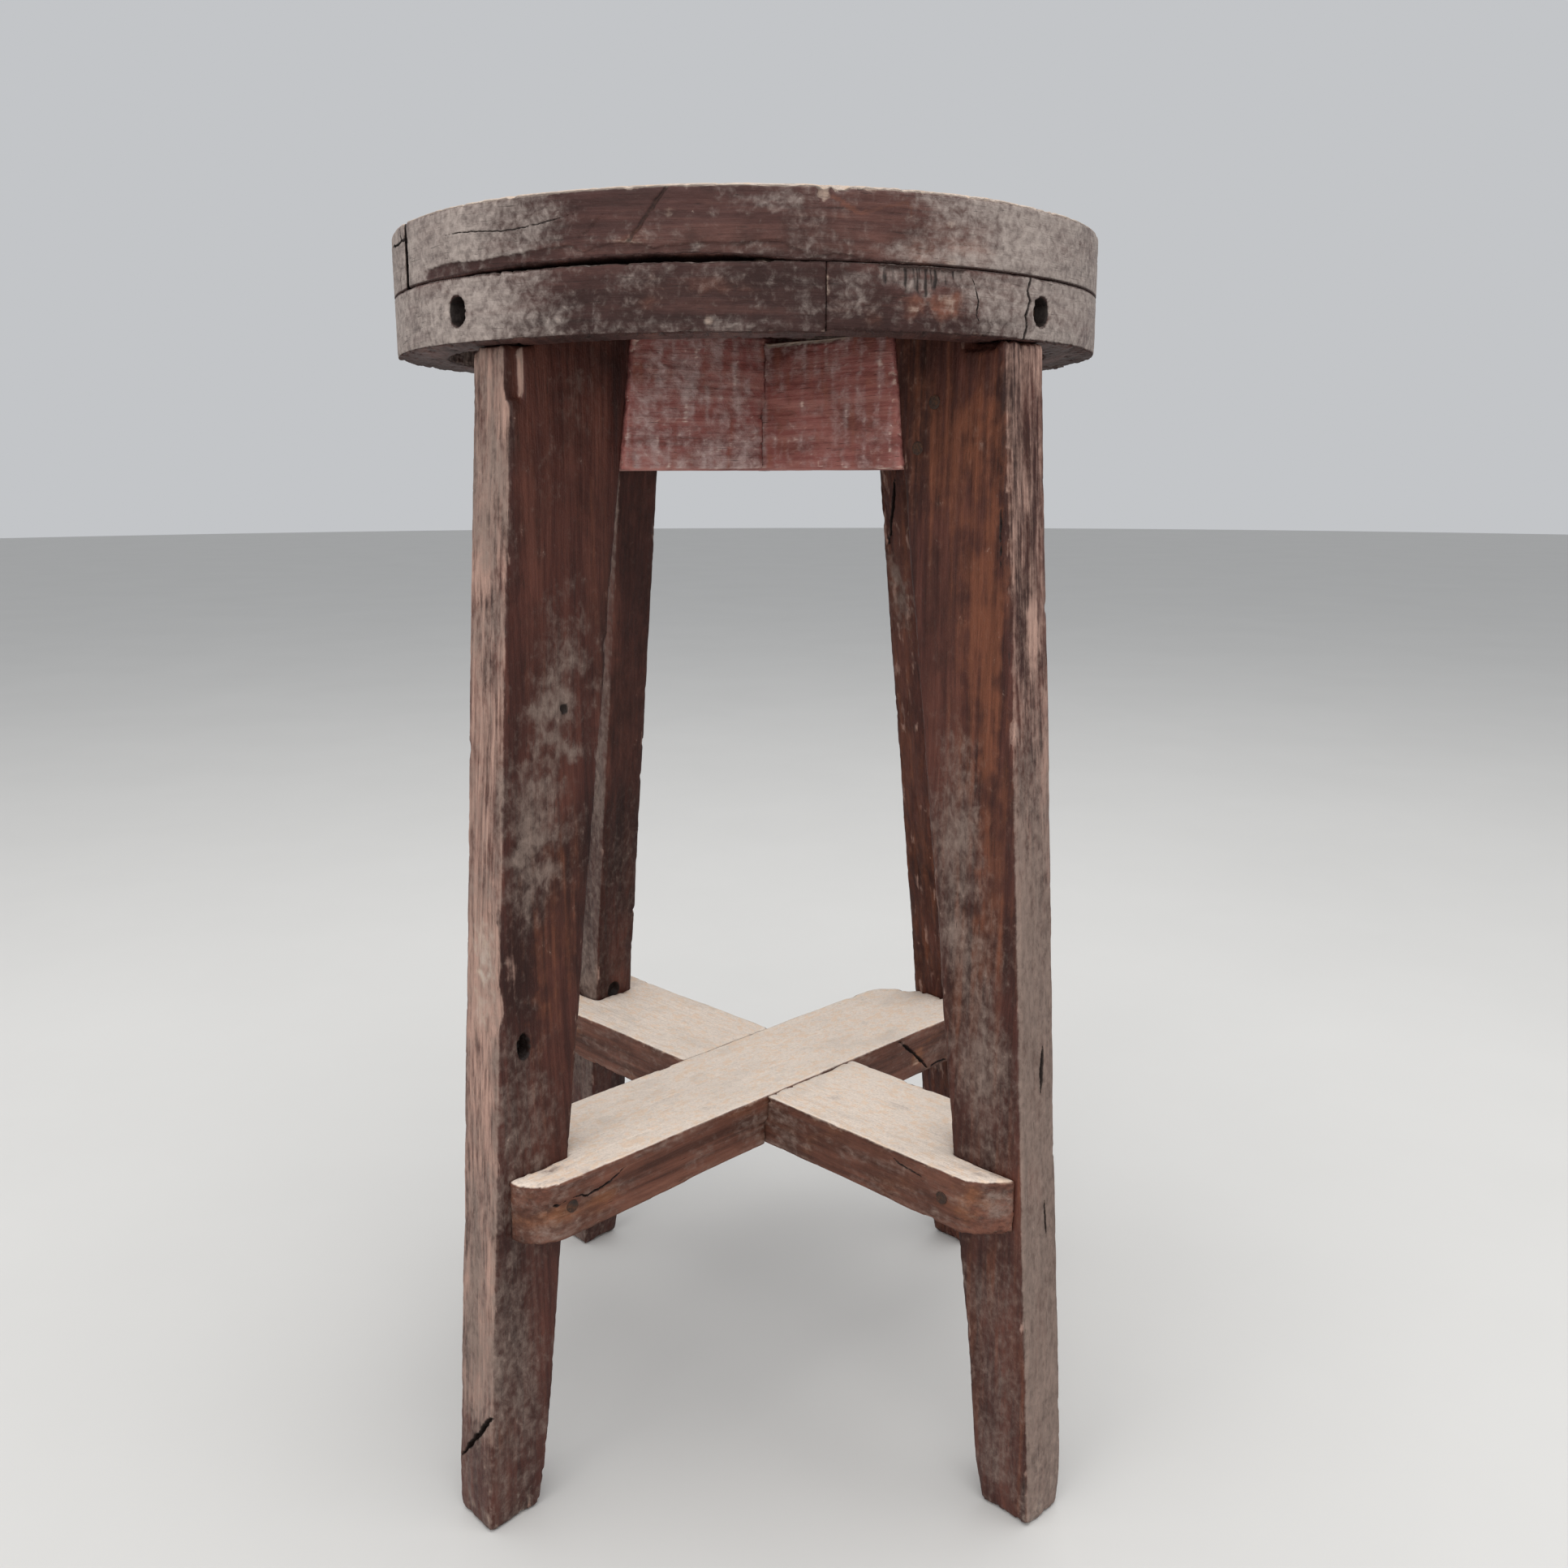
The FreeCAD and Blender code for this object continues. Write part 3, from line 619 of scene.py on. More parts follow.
def upper_slab():
    refine = [(HAIRLINE, 2.6, 2), (GOUGE, 4.0, 1), (SECOND_GOUGE, 3.0, 1),
              (rim_line((-143, 686), (-71, 681)), 5.5, 1)]
    refine += [(line, 3.5, 1) for line in DRYING_CRACKS]
    piece = top_piece("upper_slab", 11, refine, 2.12)
    piece.weather(worn=(0.5, 0.8), ridges=0.05, waves=0.18, chips=0.7, flakes=0.09, guard=joint_guard(piece))
    azimuth, radius, rim, up, down = rim_colours(piece, (-112, -72), TOP_ZONE)
    z = piece.co[:, 2]
    near_rim = step(150, 196, radius)
    # the layers have opened at the front left
    gap = np.interp(azimuth, *GAP_MARKS)
    gap = gap + 0.35 * piece.noise(7.0, 33, 3) * (gap > 0.1)
    piece.co[:, 2] += np.maximum(gap, 0) * step(LAYER_Z + 7, LAYER_Z + 0.5, z) * near_rim
    # below a ragged line the skin of the rim has come off
    ragged = 0.8 * fractal(np.stack([azimuth * 3.5, z * 0, z * 0], axis=1), 5.0, 35, 3)
    line = np.interp(azimuth, *FLAKE_LINE) + ragged
    zone = step(-144, -141, azimuth) * step(-70, -72, azimuth) * rim
    lost = step(line + 0.35, line - 0.25, z) * zone
    piece.push(-0.75 * lost)
    piece.fade("rust", 0.7 * lost)
    piece.fade("patina", lost, 0.16 + 0.25 * piece.noise(8.0, 36, 3))
    lip = step(0.9, 0.1, np.abs(z - line - 0.5)) * zone
    piece.fade("wear", 0.8 * lost)
    piece.paint("dark", 0.22 * lost)
    piece.paint("wear", 0.3 * lip)
    # painted shadow: a dark line just under the ragged edge of the skin, where its lip casts shade
    piece.paint("dark", 0.42 * step(0.8, 0.2, np.abs(z - line + 0.25)) * zone)
    piece.crack(HAIRLINE, 0.75, 1.0, 0.4, dark=0.8)
    groove = piece.crack(GOUGE, 2.2, 1.0, 0.7, taper=False, dark=0.62)
    piece.paint("rust", 0.8 * groove)
    piece.paint("rust", 0.5 * piece.crack(SECOND_GOUGE, 1.4, 0.5, 0.6, dark=0.3))
    zigzag = step(1.6, 0.6, line_distance(piece.co + 0.8 * shaken(piece.co, 3.0, 37), ZIGZAG)[0])
    piece.paint("rust", 0.75 * zigzag)
    piece.paint("dark", 0.42 * zigzag)
    piece.fade("patina", 0.9 * zigzag)
    piece.chip(on_rim(-78.7, 708.5), (3.2, 3.2, 5.5), 1.8, wear=0.75)
    piece.chip(on_rim(-76.6, 710.5), (4.0, 4.0, 3.2), 1.3, wear=0.2)
    piece.patch("wear", rim_spots((-99.0, 699.0, (4, 4, 3.2), 0.8), (-104.0, 688.5, (7, 6, 3.4), 0.55),
                                  (-59.8, 682.5, (4.5, 4.5, 4), 0.8), (-60.5, 698, (4, 4, 3), 0.6)))
    piece.patch("rust", rim_spots((-104.0, 688.5, (11, 8, 5), 0.8), (-56, 687, (16, 14, 9), 1.0),
                                  (-64, 684, (16, 10, 7), 1.0), (-79, 697, (26, 9, 8), 0.45),
                                  (-92, 695, (30, 9, 8), 0.2)))
    piece.patch("patina", rim_spots((-98, 705, (20, 10, 6), -0.3), (-85, 704, (16, 10, 5), 0.35),
                                    (-70, 706, (24, 14, 6), 0.05), (-118, 692, (20, 20, 8), 0.1)))
    # pale dust along the worn top arris and on top
    piece.paint("dust", 0.62 * pale_arris(piece, radius, z) + 0.2 * up * clip01(0.6 + piece.noise(26.0, 39, 4)))
    for line in DRYING_CRACKS:
        piece.crack(line, 1.6, 3.0, 0.7)
    # painted shade: the downward faces of the slab are darkened
    piece.paint("dark", 0.35 * down)
    rim_grain(piece)
    piece.finish(TOP_WOOD, "top_wood")


def edge_strip():
    down_crack = rim_line((-153.6, 713), (-153.4, 706), (-152.6, 703.4))
    cross_crack = rim_line((-150.0, 702.6), (-152.6, 703.2), (-156.0, 702.4), (-160.8, 703.8))
    low_crack = rim_line((-154.0, 690), (-154.8, 684), (-154.6, 678.6))
    refine = [(down_crack, 2.6, 2), (cross_crack, 2.6, 2), (low_crack, 2.6, 2)]
    piece = top_piece("upper_edge_strip", 12, refine, 1.2)
    piece.weather(worn=(0.5, 0.8), ridges=0.12, waves=0.2, chips=0.8, flakes=0.1, guard=joint_guard(piece))
    _, radius, _, up, _ = rim_colours(piece, (-112, -72), TOP_ZONE)
    for marks in (down_crack, cross_crack, low_crack):
        piece.crack(marks, 1.5, 2.2, 0.5, taper=False)
    piece.paint("dust", 0.15 * up + 0.6 * pale_arris(piece, radius, piece.co[:, 2]))
    facing_slab = step(0.6, 0.9, piece.out()[:, 0])
    piece.paint("dark", 0.8 * facing_slab)
    rim_grain(piece)
    piece.finish(TOP_WOOD, "top_wood")


def ring():
    """The four segments under the slab."""
    split = rim_line((-44.6, 678.4), (-45.3, 672), (-44.7, 667), (-45.6, 660), (-45.2, 654), (-45.9, 648.4))
    hair = rim_line((-56.7, 675.7), (-56.0, 671), (-55.2, 664), (-55.6, 658), (-54.8, 654))
    fibres = rim_line((-71, 668), (-64, 668), (-57.4, 668))
    front_marks = [(split, 4.5, 2), (hair, 2.4, 2), (fibres, 11, 1)]
    for node, seed, refine in (("front_left", 13, ()), ("front_right", 14, front_marks),
                               ("back_right", 15, ()), ("back_left", 16, ())):
        piece = top_piece("ring_" + node, seed, refine, 1.25, 1.5)
        piece.weather(worn=(0.4, 0.8), ridges=0.06, waves=0.18, chips=0.8, flakes=0.1, soft_rounds=12,
                      guard=joint_guard(piece))
        dark_zone = (-110, -66) if node == "front_left" else (-112, -64)
        azimuth, radius, rim, _, down = rim_colours(piece, dark_zone, RING_ZONE)
        z, bottom = piece.co[:, 2], RING_BOTTOM[node]
        inner = step(RING_INNER + 4, RING_INNER + 1.5, radius) * rim
        if node == "front_left":
            gap = np.interp(azimuth, *GAP_MARKS)
            crumble = clip01(0.2 + 0.8 * piece.noise(5.0, 41, 3)) * (gap > 0.2)
            piece.co[:, 2] -= 0.9 * crumble * step(LAYER_Z - 3, LAYER_Z - 0.3, z) * step(185, 197, radius)
            piece.patch("rust", rim_spots((-100, 666, (30, 12, 8), 0.4), (-88, 660, (22, 12, 6), 0.15)))
            piece.patch("wear", rim_spots((-101, 670, (10, 8, 4), 0.35), (-94, 653, (3, 4, 3), 0.9)))
            piece.patch("patina", rim_spots((-117, 664, (22, 22, 12), 0.05), (-92, 650, (30, 10, 4), 0.35)))
        if node == "front_right":
            piece.crack(split, 1.9, 6.0, 0.45, taper=False)
            piece.crack(hair, 0.9, 1.4, 0.5)
            # the top arris has crumbled into upright fibres, with fresh wood below them
            zone = step(-71.8, -70.2, azimuth) * step(-57.0, -58.4, azimuth) * rim * (radius > 185)
            depth = np.interp(azimuth, [-71, -68, -64, -61, -58], [9, 11, 14, 9, 5])
            depth = depth + 2.2 * piece.noise(5.0, 43, 2)
            loss = zone * step(LAYER_Z - depth - 1.5, LAYER_Z - depth + 3.0, z)
            comb = fractal(np.stack([azimuth * 3.5, z * 0.12, z * 0], axis=1), 1.7, 44, 2)
            piece.push(-loss * (1.3 + 0.7 * comb + 0.9 * step(LAYER_Z - 6, LAYER_Z, z)))
            piece.fade("patina", loss, 0.5)
            piece.fade("rust", 0.8 * loss)
            piece.paint("dark", loss * (0.28 + 0.5 * step(0.1, -0.5, comb)))
            piece.patch("rust", rim_spots((-61, 662, (11, 10, 9), 1.3), (-66, 660, (10, 8, 7), 0.7),
                                          (-50, 672, (10, 10, 6), 0.8), (-74, 658, (16, 10, 9), 0.3)))
            piece.patch("wear", rim_spots((-60.6, 663, (7, 7, 6), 0.75), (-66, 659, (6, 6, 5), 0.55),
                                          (-46, 671, (5, 6, 4), 0.5)), size=5.0)
            piece.patch("patina", rim_spots((-74, 664, (12, 10, 12), 0.35)))
        # the peg's hole is dark inside
        mouth = np.array(on_rim(BORE_AZIMUTHS[node], BORE_Z))
        diagonal = math.radians(LEG_AZIMUTHS[node])
        inwards = FRAME_CENTRE + PEG_END_RADIUS * np.array([math.cos(diagonal), math.sin(diagonal), 0])
        inwards[2] = mouth[2]
        off_axis = line_distance(piece.co, [mouth, inwards])[0]
        piece.paint("dark", 1.1 * step(7.9, 7.2, off_axis) * step(TOP_RADIUS - 0.3, TOP_RADIUS - 1.6, radius))
        # the inner wall is roughly sawn, grey and dusty
        saw = piece.noise((14, 14, 2.2), seed + 25, 3)
        piece.push(0.5 * inner * saw)
        piece.fade("patina", inner, piece.cloudy(0.55, 0.4, 15.0, seed + 26))
        piece.paint("dust", 0.25 * inner)
        # ragged, splintered lower edge, and slots left by the plane underneath
        ends = 0.35 + 0.65 * clip01(np.abs((azimuth + 90 + 180) % 360 - 180) / 55 - 0.6)
        splinter = clip01(piece.noise((5, 5, 7), 45, 3) + 0.15) * step(bottom + 4, bottom + 0.5, z)
        splinter = splinter * step(188, 198, radius) * ends
        piece.push(-1.6 * splinter)
        slots = down * step(0.30, 0.48, piece.noise((4, 17, 6), 46, 3))
        piece.push(-0.8 * slots)
        # 0.12 * down is painted shade on the downward faces; the splinters and slots are darkened as well
        piece.paint("dark", 0.12 * down + 0.35 * splinter + 0.55 * slots)
        piece.paint("rust", 0.3 * down)
        rim_grain(piece)
        piece.finish(TOP_WOOD, "top_wood")


# ---- legs
def diagonal_axes(azimuth):
    turn = math.radians(azimuth)
    return [(math.cos(turn), math.sin(turn), 0), (-math.sin(turn), math.cos(turn), 0), (0, 0, 1)]


def outer_at(z, foot_out=0.0, top_out=0.0):
    foot = LEG_OUTER_FOOT + foot_out
    return foot + (LEG_OUTER_TOP + top_out - foot) * z / UNDER_Z


def inner_at(z, foot_out=0.0, top_in=0.0):
    foot = LEG_INNER_FOOT + foot_out
    return foot + (LEG_INNER_TOP + top_in - foot) * z / UNDER_Z


def leg(name, seed, foot_out, refine):
    """A leg in its own axes: x out along the diagonal, y to its side, z up."""
    piece = Piece("leg_" + name, diagonal_axes(LEG_AZIMUTHS[name]), FRAME_CENTRE, 1.15, (1, 1, 0.42), seed, refine)
    piece.weather(worn=(0.4, 0.9), ridges=0.2, waves=0.5, chips=0.75, flakes=0.1, soft_rounds=12)
    x, y, z = piece.co.T
    # the foot is worn round, its fibres broken
    low = step(46, 0, z)
    middle = (outer_at(z, foot_out) + inner_at(z, foot_out)) / 2
    shrink = 0.07 * low ** 2.2 * (1 + 0.8 * piece.noise(22.0, seed + 61, 2))
    piece.co[:, 0] += (middle - x) * shrink
    piece.co[:, 1] *= 1 - 0.8 * shrink
    frayed = clip01(piece.noise((4, 4, 22), seed + 62, 3)) * step(26, 2, z)
    piece.push(-1.3 * frayed)
    out, side = step(0.45, 0.85, piece.normal[:, 0]), step(0.6, 0.9, np.abs(piece.normal[:, 1]))
    inside = step(0.6, 0.9, -piece.normal[:, 0])
    piece.paint("dark", 0.3 * frayed + 0.35 * step(14, 0, z) * clip01(0.4 + piece.noise(6.0, seed + 63, 3)))
    piece.paint("dust", 0.42 * step(60, 8, z) * clip01(0.35 + piece.noise((9, 9, 20), seed + 64, 4)))
    piece.paint("patina", 0.45 * step(150, 20, z) * clip01(0.5 + piece.noise((16, 16, 40), seed + 65, 4)))
    streak = piece.noise((5, 5, 110), seed + 66, 4, 0.6)
    return piece, out, side, inside, streak


def side_spots(side, *spots):
    """Patches on a leg's wide face: radius, height, half-size in each and strength."""
    return [((radius, side * LEG_HALF, height), (half, 6, half_height), strength)
            for radius, height, half, half_height, strength in spots]


def grey_outer_face(piece, out, streak):
    piece.paint("wear", out * clip01(0.48 + 0.16 * streak + 0.3 * piece.noise((22, 22, 70), 76, 4)))
    piece.paint("patina", out * piece.cloudy(0.3, 0.5, (13, 13, 34), 77))


def front_left_leg():
    def on_left(across, height):
        return outer_at(height, *LEG_OUT["front_left"]), across, height

    foot_crack = [on_left(-17.5, 30), on_left(-9, 41), on_left(-2, 50), on_left(6, 60),
                  on_left(14, 71), (222, LEG_HALF, 77.5)]
    arris_gouge = [on_left(15.5, 446), on_left(15.0, 436), on_left(15.6, 424), on_left(15.2, 411)]
    knot = [(198.5, LEG_HALF, 290), (200.5, LEG_HALF, 276)]
    refine = [(foot_crack, 4.5, 2), (arris_gouge, 5.0, 1), (knot, 9.0, 2)]
    piece, out, side, _, streak = leg("front_left", 31, LEG_OUT["front_left"][0], refine)
    rubbed = np.clip(0.70 + 0.22 * streak + 0.35 * piece.noise((16, 16, 40), 67, 4), 0, 1.1)
    piece.paint("wear", out * rubbed * step(20, 90, piece.co[:, 2]))
    piece.paint("patina", out * piece.cloudy(0.38, 0.5, (13, 13, 34), 75))
    piece.paint("rust", 0.35 * out + side * clip01(0.12 + 0.55 * streak))
    piece.patch("patina", side_spots(1, (163, 500, 17, 40, 0.55), (168, 465, 24, 30, 0.65), (184, 412, 24, 44, 0.85),
                                     (194, 372, 16, 30, 0.6), (148, 622, 16, 30, 0.30), (170, 585, 14, 26, 0.22),
                                     (204, 235, 24, 60, 0.7), (214, 110, 24, 90, 0.6)), 0.7, 13.0)
    piece.patch("patina", [((on_left(0, 120)[0], 0, 110), (6, 20, 110), 0.55), (on_left(0, 580), (6, 20, 90), 0.5),
                           ((on_left(0, 330)[0], 0, 300), (6, 20, 80), 0.2)], 0.5)
    piece.patch("rust", side_spots(1, (176, 335, 22, 60, 0.55), (150, 560, 20, 60, 0.25), (188, 262, 12, 44, 0.4),
                                   (225, 60, 10, 30, 0.4)))
    piece.patch("wear", [(on_left(-4, 535), (7, 8, 16), 0.4), (on_left(1, 345), (8, 13, 26), 1.1),
                         (on_left(0, 308), (8, 12, 22), 1.0), ((205, LEG_HALF, 330), (5, 5, 26), 0.5),
                         ((210, LEG_HALF, 270), (5, 6, 20), 0.35)])
    piece.crack(foot_crack, 3.4, 4.5)
    piece.crack(arris_gouge, 3.4, 0.9, 1.0, dark=0.35)
    piece.pit((199.5, LEG_HALF, 283), (4.6, 9, 7.6), 9.0)
    piece.pit((164.4, LEG_HALF, 463.4), (2.6, 5, 3.0), 2.2)
    piece.patch("dust", [(on_left(2, 342), (8, 12, 24), 0.55), (on_left(1, 308), (8, 10, 18), 0.5)], 0.9, 6.0)
    piece.chip(on_left(8, 340), (7, 8, 22), 1.2, wear=1.0)
    piece.chip(on_left(13, 308), (6, 6, 15), 1.3, wear=1.0)
    piece.finish(LEG_WOOD, "leg_wood", keep_floor=True)


def front_right_leg():
    def on_side(radius, height):
        return radius, -LEG_HALF, height

    def on_right(across, height):
        return outer_at(height, *LEG_OUT["front_right"]), across, height

    top_split = [on_side(186.5, 574), on_side(187.0, 556), on_side(188.2, 534), on_side(189.5, 512)]
    outer_split = [on_right(3.5, 282), on_right(1.5, 268), on_right(0.5, 252)]
    low_split = [on_right(1.6, 193), on_right(2.4, 180), on_right(3.4, 168)]
    foot_split = [on_side(202.6, 120), on_side(204.6, 100), on_side(206.6, 84), on_side(208.4, 70)]
    refine = [(top_split, 3.0, 2), (outer_split, 3.2, 2), (low_split, 3.0, 2), (foot_split, 3.2, 2)]
    piece, out, side, _, streak = leg("front_right", 32, LEG_OUT["front_right"][0], refine)
    piece.paint("wear", out * clip01(0.54 + 0.16 * streak + 0.28 * piece.noise((22, 22, 70), 74, 4)))
    greyed = np.clip(1.15 + 0.45 * piece.noise((14, 14, 50), 68, 4), 0, 1.6)
    piece.paint("patina", out * greyed * step(560, 300, piece.co[:, 2]))
    piece.paint("rust", 0.30 * out + side * clip01(0.34 + 0.6 * streak))
    piece.patch("rust", side_spots(-1, (178, 505, 15, 110, 0.75), (152, 590, 30, 44, 0.5), (188, 400, 10, 90, 0.5),
                                   (168, 300, 12, 70, 0.3)), 0.6, 12.0)
    piece.patch("patina", side_spots(-1, (172, 400, 14, 70, 0.6), (156, 400, 18, 90, 0.5), (180, 310, 24, 80, 0.65),
                                     (194, 240, 20, 60, 0.6), (200, 110, 24, 90, 0.6)), 0.5, 34.0)
    piece.patch("dark", [(on_side(188, 560), (10, 5, 60), 0.22), (on_side(198, 430), (8, 5, 70), 0.22)], 0.5, 12.0)
    piece.patch("wear", [(on_right(3, 508), (7, 7, 18), 0.55), (on_right(-2, 577), (7, 7, 12), 0.3)])
    piece.crack(top_split, 1.4, 1.6, 0.5)
    piece.crack(outer_split, 3.0, 3.5, 0.6)
    piece.crack(low_split, 1.8, 2.2, 0.5)
    piece.crack(foot_split, 2.2, 3.0, 0.6)
    piece.finish(LEG_WOOD, "leg_wood", keep_floor=True)


def back_right_leg():
    """Its inner edge is split and peeled."""
    def inner_edge(across, height, centre=None):
        return inner_at(height, *LEG_IN["back_right"]), across, centre or height

    split = [inner_edge(2.0, 586), inner_edge(5.0, 566), inner_edge(9.0, 548), inner_edge(14.5, 530)]
    piece, out, side, inside, streak = leg("back_right", 33, LEG_IN["back_right"][0], [(split, 3.6, 2)])
    piece.paint("rust", inside * clip01(0.55 + 0.5 * streak) + 0.3 * side)
    grey_outer_face(piece, out, streak)
    peel = inside * step(0.05, 0.4, piece.noise((8, 8, 34), 69, 4))
    piece.push(-1.1 * peel)
    piece.paint("wear", 0.55 * inside * step(0.1, 0.5, piece.noise((5, 5, 20), 70, 4)))
    piece.patch("patina", [(inner_edge(4, 500), (7, 10, 26), 0.9),
                           (inner_edge(9, 520, 524), (6, 6, 12), 0.7)], 0.6, 8.0)
    piece.paint("patina", side * piece.cloudy(0.3, 0.5, (16, 16, 60), 72))
    piece.crack(split, 3.0, 4.0, 0.7)
    piece.finish(LEG_WOOD, "leg_wood", keep_floor=True)


def back_left_leg():
    """Its inner edge is dark, with a small notch above the stretcher."""
    foot_out, top_in = LEG_IN["back_left"]
    notch = [(inner_at(214, foot_out, top_in) - 1, 3.0, 214)]
    piece, out, side, inside, streak = leg("back_left", 34, foot_out, [(notch + notch, 9.0, 1)])
    piece.paint("patina", side * piece.cloudy(0.55, 0.45, (16, 16, 60), 73))
    piece.paint("patina", inside * 0.25 * step(420, 300, piece.co[:, 2]))
    grey_outer_face(piece, out, streak)
    piece.paint("rust", inside * clip01(0.15 + 0.35 * streak))
    piece.pit((inner_at(214, foot_out, top_in), -4.0, 213), (7, 5.5, 6.5), 4.0)
    piece.finish(LEG_WOOD, "leg_wood", keep_floor=True)


# ---- rails and stretchers
def bar(node, azimuth, seed, refine=(), voxel=1.1, **weathering):
    """A rail or stretcher in its own axes: x along it, y to its side, z up."""
    piece = Piece(node, diagonal_axes(azimuth), FRAME_CENTRE, voxel, (0.42, 1, 1), seed, refine, along=0)
    piece.weather(**weathering)
    return piece


def rails():
    chip_line = [(-18 - 60 * i / 4, RAIL_HALF, RAIL_TOP) for i in range(5)]
    for node, azimuth, seed, greyness, refine in (("rail_over", 45, 51, 0.58, ()),
                                                  ("rail_under", 135, 52, 0.32, [(chip_line, 4.0, 1)])):
        piece = bar(node, azimuth, seed, refine, worn=(0.3, 0.8), ridges=0.14, waves=0.35, chips=0.8, flakes=0.14)
        x, y, z = piece.co.T
        side = step(0.6, 0.9, np.abs(piece.normal[:, 1]))
        drips = piece.noise((6, 6, 55), seed + 81, 4, 0.6)
        specks = step(0.22, 0.42, piece.noise(2.6, seed + 82, 3))
        piece.paint("patina", side * clip01(greyness + 0.6 * drips + 0.35 * piece.noise((9, 9, 9), seed + 88, 4)))
        piece.paint("rust", side * clip01(0.35 - 0.5 * drips))
        piece.paint("wear", side * specks * 0.8 * clip01(0.55 + drips))
        # painted shade: the sides are darkened within 12 mm of the rail top, under the top
        piece.paint("dark", 0.25 * step(12, 0, RAIL_TOP - z) * side)
        piece.paint("dark", side * 0.42 * step(-0.1, 0.6, piece.noise((13, 13, 10), seed + 87, 4)))
        # painted shade: the sides are darkened near the crossing, in the corners between the two rails
        piece.paint("dark", side * 0.38 * step(46, 18, np.abs(x)) * clip01(0.8 + 0.6 * drips))
        if node == "rail_under":
            chipped = step(4.5, 0.5, RAIL_TOP - z + 1.4 * piece.noise((7, 7, 4), 83, 3)) * step(-100, -60, x)
            chipped = chipped * step(-17, -22, x) * step(RAIL_HALF - 9, RAIL_HALF - 1, y)
            piece.push(-1.6 * chipped)
            piece.paint("wear", 1.2 * chipped)
            piece.paint("dust", 1.2 * chipped)
        piece.finish(RAIL_WOOD, "rail_wood")


def stretchers():
    near = -STRETCHER_HALF
    nose = [(x, near, z) for x, z in ((-190, 200), (-178, 196), (-168, 197), (-160, 199), (-148, 204))]
    nose_front = [(-211, -20, 201), (-206, -30, 199), (-198, -38, 197), (-190, near, 199)]
    back = [(x, near, z) for x, z in ((84, 209), (97, 199), (112, 185), (118, 178))]
    back_low = [(118, near, 178.5), (129, near, 180.5), (141, -38, 179)]
    face = [(x, STRETCHER_HALF, z) for x, z in ((-139, 205), (-150, 202), (-166, 201))]
    over_marks = ((nose, 1.6, 2.2), (nose_front, 1.8, 2.4), (back, 2.4, 3.0), (back_low, 1.6, 1.6))
    for node, azimuth, seed, marks in (("stretcher_over", 45, 53, over_marks),
                                       ("stretcher_under", 135, 54, ((face, 1.2, 1.2),))):
        piece = bar(node, azimuth, seed, [(line, 3.4, 2) for line, _, _ in marks], 1.2,
                    worn=(0.35, 0.8), ridges=0.14, waves=0.35, chips=0.7, flakes=0.1)
        x, y, z = piece.co.T
        up = step(0.55, 0.9, piece.normal[:, 2])
        side = step(0.5, 0.85, 1 - np.abs(piece.normal[:, 2]))
        cloud = piece.noise((26, 12, 12), seed + 84, 4)
        end = step(150, 200, np.abs(x))
        # dust on the upward faces; with the lightened dust colour this is also painted light from above
        piece.paint("dust", up * np.clip(1.0 + 0.35 * cloud - 0.25 * end, 0, 1.2))
        piece.paint("dust", 0.35 * step(6, 0, STRETCHER_TOP - z) * side * clip01(0.4 + cloud))
        piece.paint("rust", side * clip01(0.25 + 0.5 * cloud))
        piece.paint("rust", 0.4 * up * clip01(piece.noise((12, 5, 5), seed + 85, 4)))
        piece.paint("patina", side * piece.cloudy(0.20, 0.55, (40, 9, 9), seed + 86))
        for line, width, depth in marks:
            piece.crack(line, width, depth, 0.7)
        if node == "stretcher_over":
            piece.patch("rust", [((-195, -37, 190), (16, 10, 8), 0.5), ((-168, near, 192), (14, 6, 8), 0.7),
                                 ((105, near, 190), (8, 5, 6), 0.9)])
            piece.patch("wear", [((104, near, 188), (6, 4, 4), 0.9), ((-176, near, 205), (14, 4, 3), 0.3)])
        else:
            piece.patch("rust", [((-192, 34, 195), (10, 10, 12), 0.9), ((-204, 26, 190), (10, 10, 8), 0.3)])
            piece.patch("patina", [((-205, 24, 195), (12, 12, 14), 0.5)])
        piece.finish(STRETCHER_WOOD, "stretcher_wood")


# ---- pegs and nails
def small_piece(node, voxel, seed, rough, material, slot, rounds=6):
    """Pegs and nails: remeshed fine, softened and roughened all over."""
    piece = Piece(node, np.eye(3), (0, 0, 0), voxel, (1, 1, 1), seed)
    soft = piece.smoothed(piece.co, rounds)
    piece.co = piece.co + (soft - piece.co) * 0.6
    piece.push(rough * piece.noise(2.6, seed, 3) - rough)
    piece.paint("dark", np.full(len(piece.co), 0.5 if slot == "peg_wood" else 0.25))
    piece.finish(material, slot)


def fasteners():
    for index, name in enumerate(LEG_AZIMUTHS):
        small_piece("rim_peg_" + name, 0.8, 61 + index, 0.28, PEG_WOOD, "peg_wood")
    for index, node in enumerate(("rail_nails", "rail_lap_nail", "stretcher_nails", "stretcher_lap_nail")):
        small_piece(node, 0.42, 66 + index, 0.12, NAIL_IRON, "nail_iron", 2)
    for node in ("layer_pegs", "ring_dowels", "edge_dowels"):
        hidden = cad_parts[node]
        hidden.data.materials.clear()
        hidden.data.materials.append(INNER_WOOD)


upper_slab()
edge_strip()
ring()
front_left_leg()
front_right_leg()
back_right_leg()
back_left_leg()
rails()
stretchers()
fasteners()

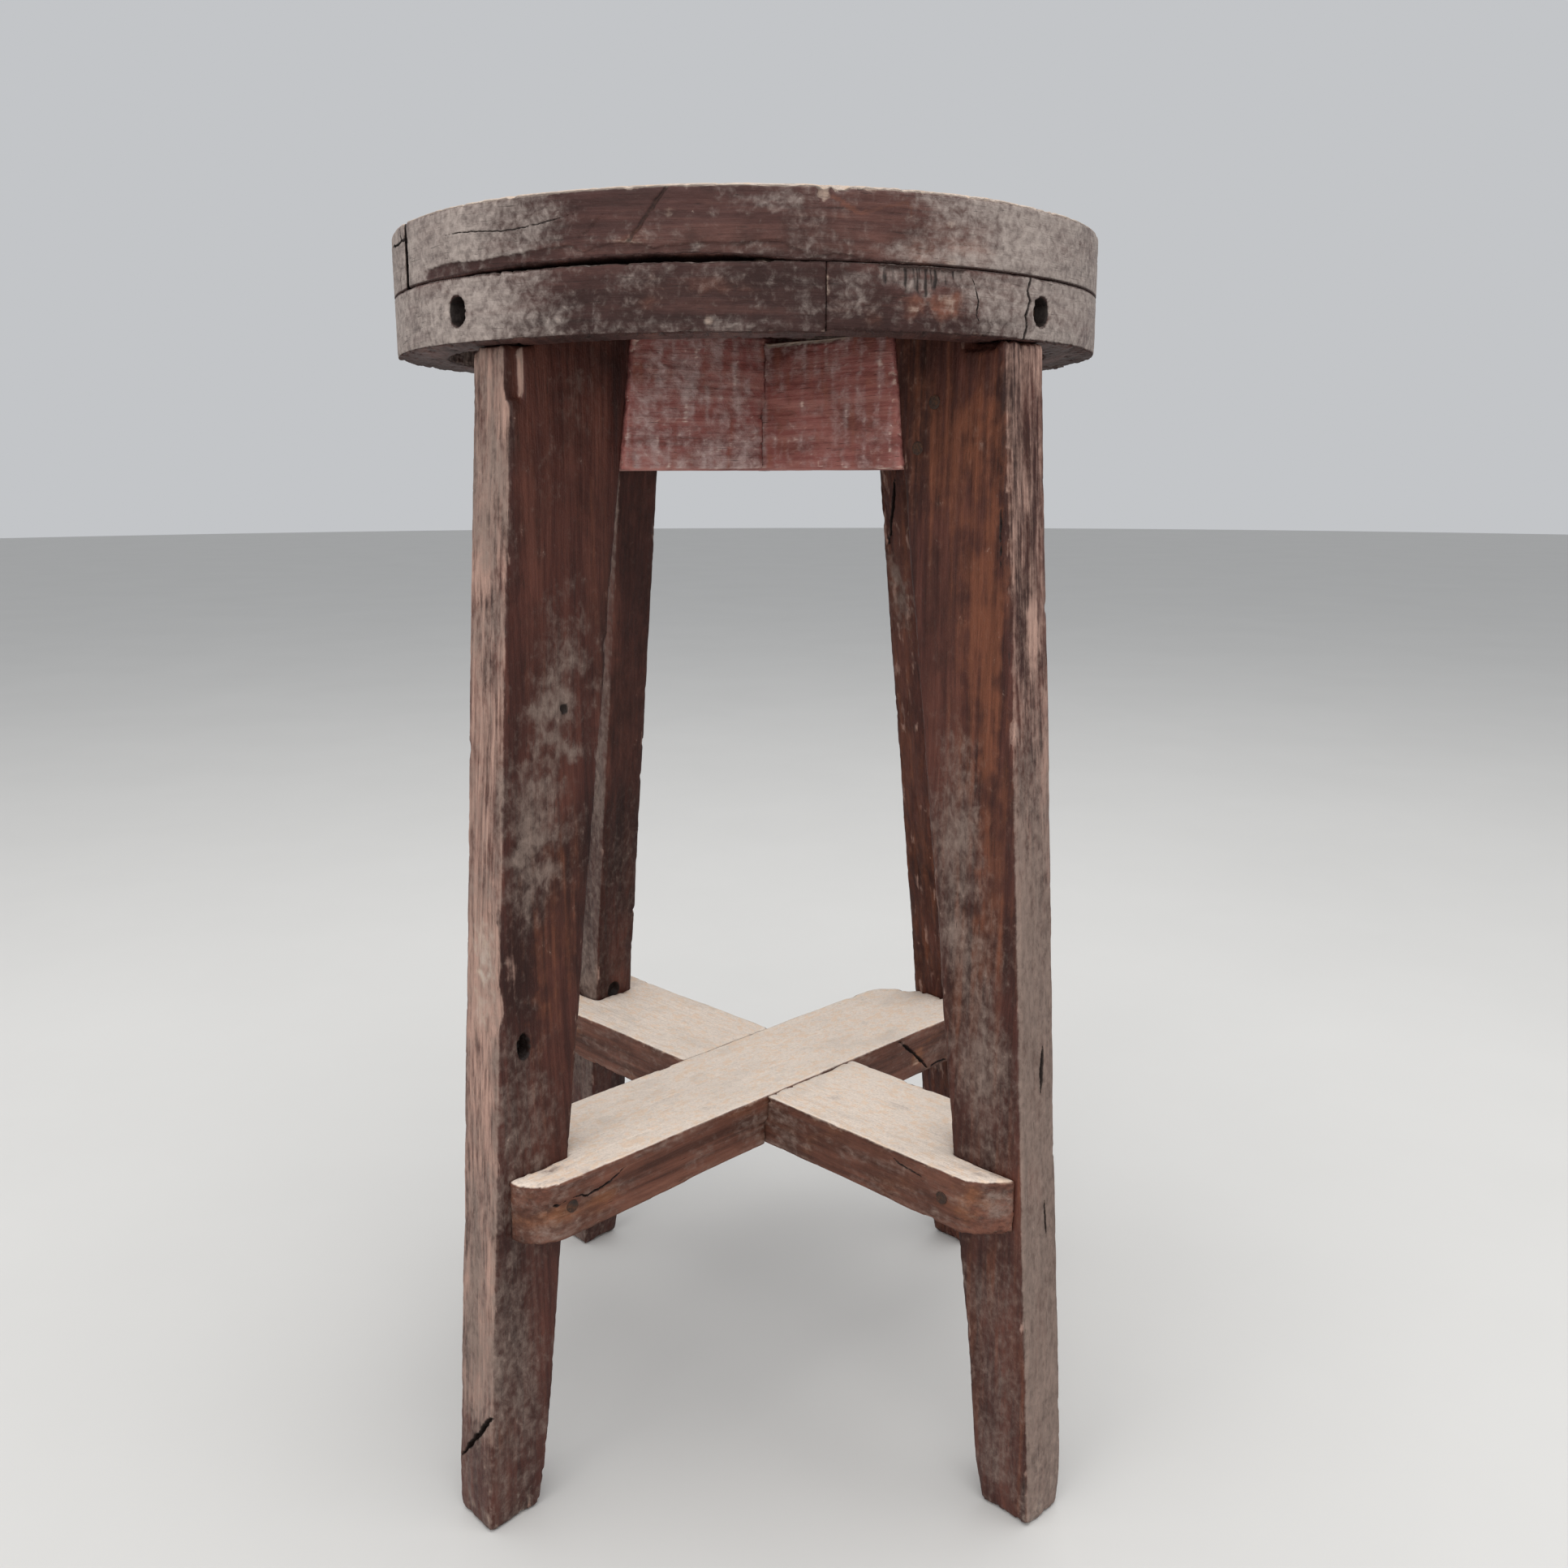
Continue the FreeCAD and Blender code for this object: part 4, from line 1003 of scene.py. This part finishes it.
# ---- floor, light and camera
FLOOR_RADIUS = 14.0
floor_mesh = bpy.data.meshes.new("floor")
shape = bmesh.new()
bmesh.ops.create_circle(shape, cap_ends=True, radius=FLOOR_RADIUS, segments=96)
shape.to_mesh(floor_mesh)
shape.free()
floor_mesh.materials.append(plain("pale_floor", (0.62, 0.615, 0.60), 0.85))
floor = place("floor", floor_mesh)


def soft_light(name, spot, target, size, power, colour):
    data = bpy.data.lights.new(name, "AREA")
    data.shape, data.size, data.size_y = "RECTANGLE", size[0], size[1]
    data.energy, data.color = power, colour
    light = place(name, data)
    light.location = spot
    light.rotation_euler = (Vector(target) - Vector(spot)).to_track_quat("-Z", "Y").to_euler()


soft_light("overhead", (0.2, -0.3, 2.7), (0, 0, 0.4), (3.0, 3.0), 66.0, (1.0, 0.985, 0.965))
soft_light("front_left", (-2.0, -2.4, 1.5), (0, 0, 0.4), (1.8, 1.8), 24.0, (1.0, 0.97, 0.94))
soft_light("front", (0.5, -3.2, 1.35), (0, 0, 0.35), (2.8, 2.2), 27.0, (1.0, 0.98, 0.96))

world = bpy.data.worlds.new("studio")
world.use_nodes = True
background = world.node_tree.nodes["Background"].inputs
background["Color"].default_value, background["Strength"].default_value = (0.88, 0.90, 0.93, 1), 0.62
bpy.context.scene.world = world
bpy.context.scene.view_settings.view_transform = "Standard"

SENSOR_WIDTH, LENS = 36.0, 32.76        # millimetres
CAMERA_AT = (0.0195, -0.87865, 0.5864)
CAMERA_YAW, CAMERA_PITCH, CAMERA_ROLL = (math.radians(a) for a in (0.08, -12.43, -0.14))
camera_data = bpy.data.cameras.new("camera")
camera_data.sensor_width, camera_data.lens = SENSOR_WIDTH, LENS
camera = place("camera", camera_data)
camera.matrix_world = (Matrix.Translation(CAMERA_AT) @ Matrix.Rotation(-CAMERA_YAW, 4, "Z")
                       @ Matrix.Rotation(math.pi / 2 + CAMERA_PITCH, 4, "X") @ Matrix.Rotation(CAMERA_ROLL, 4, "Z"))
bpy.context.scene.camera = camera
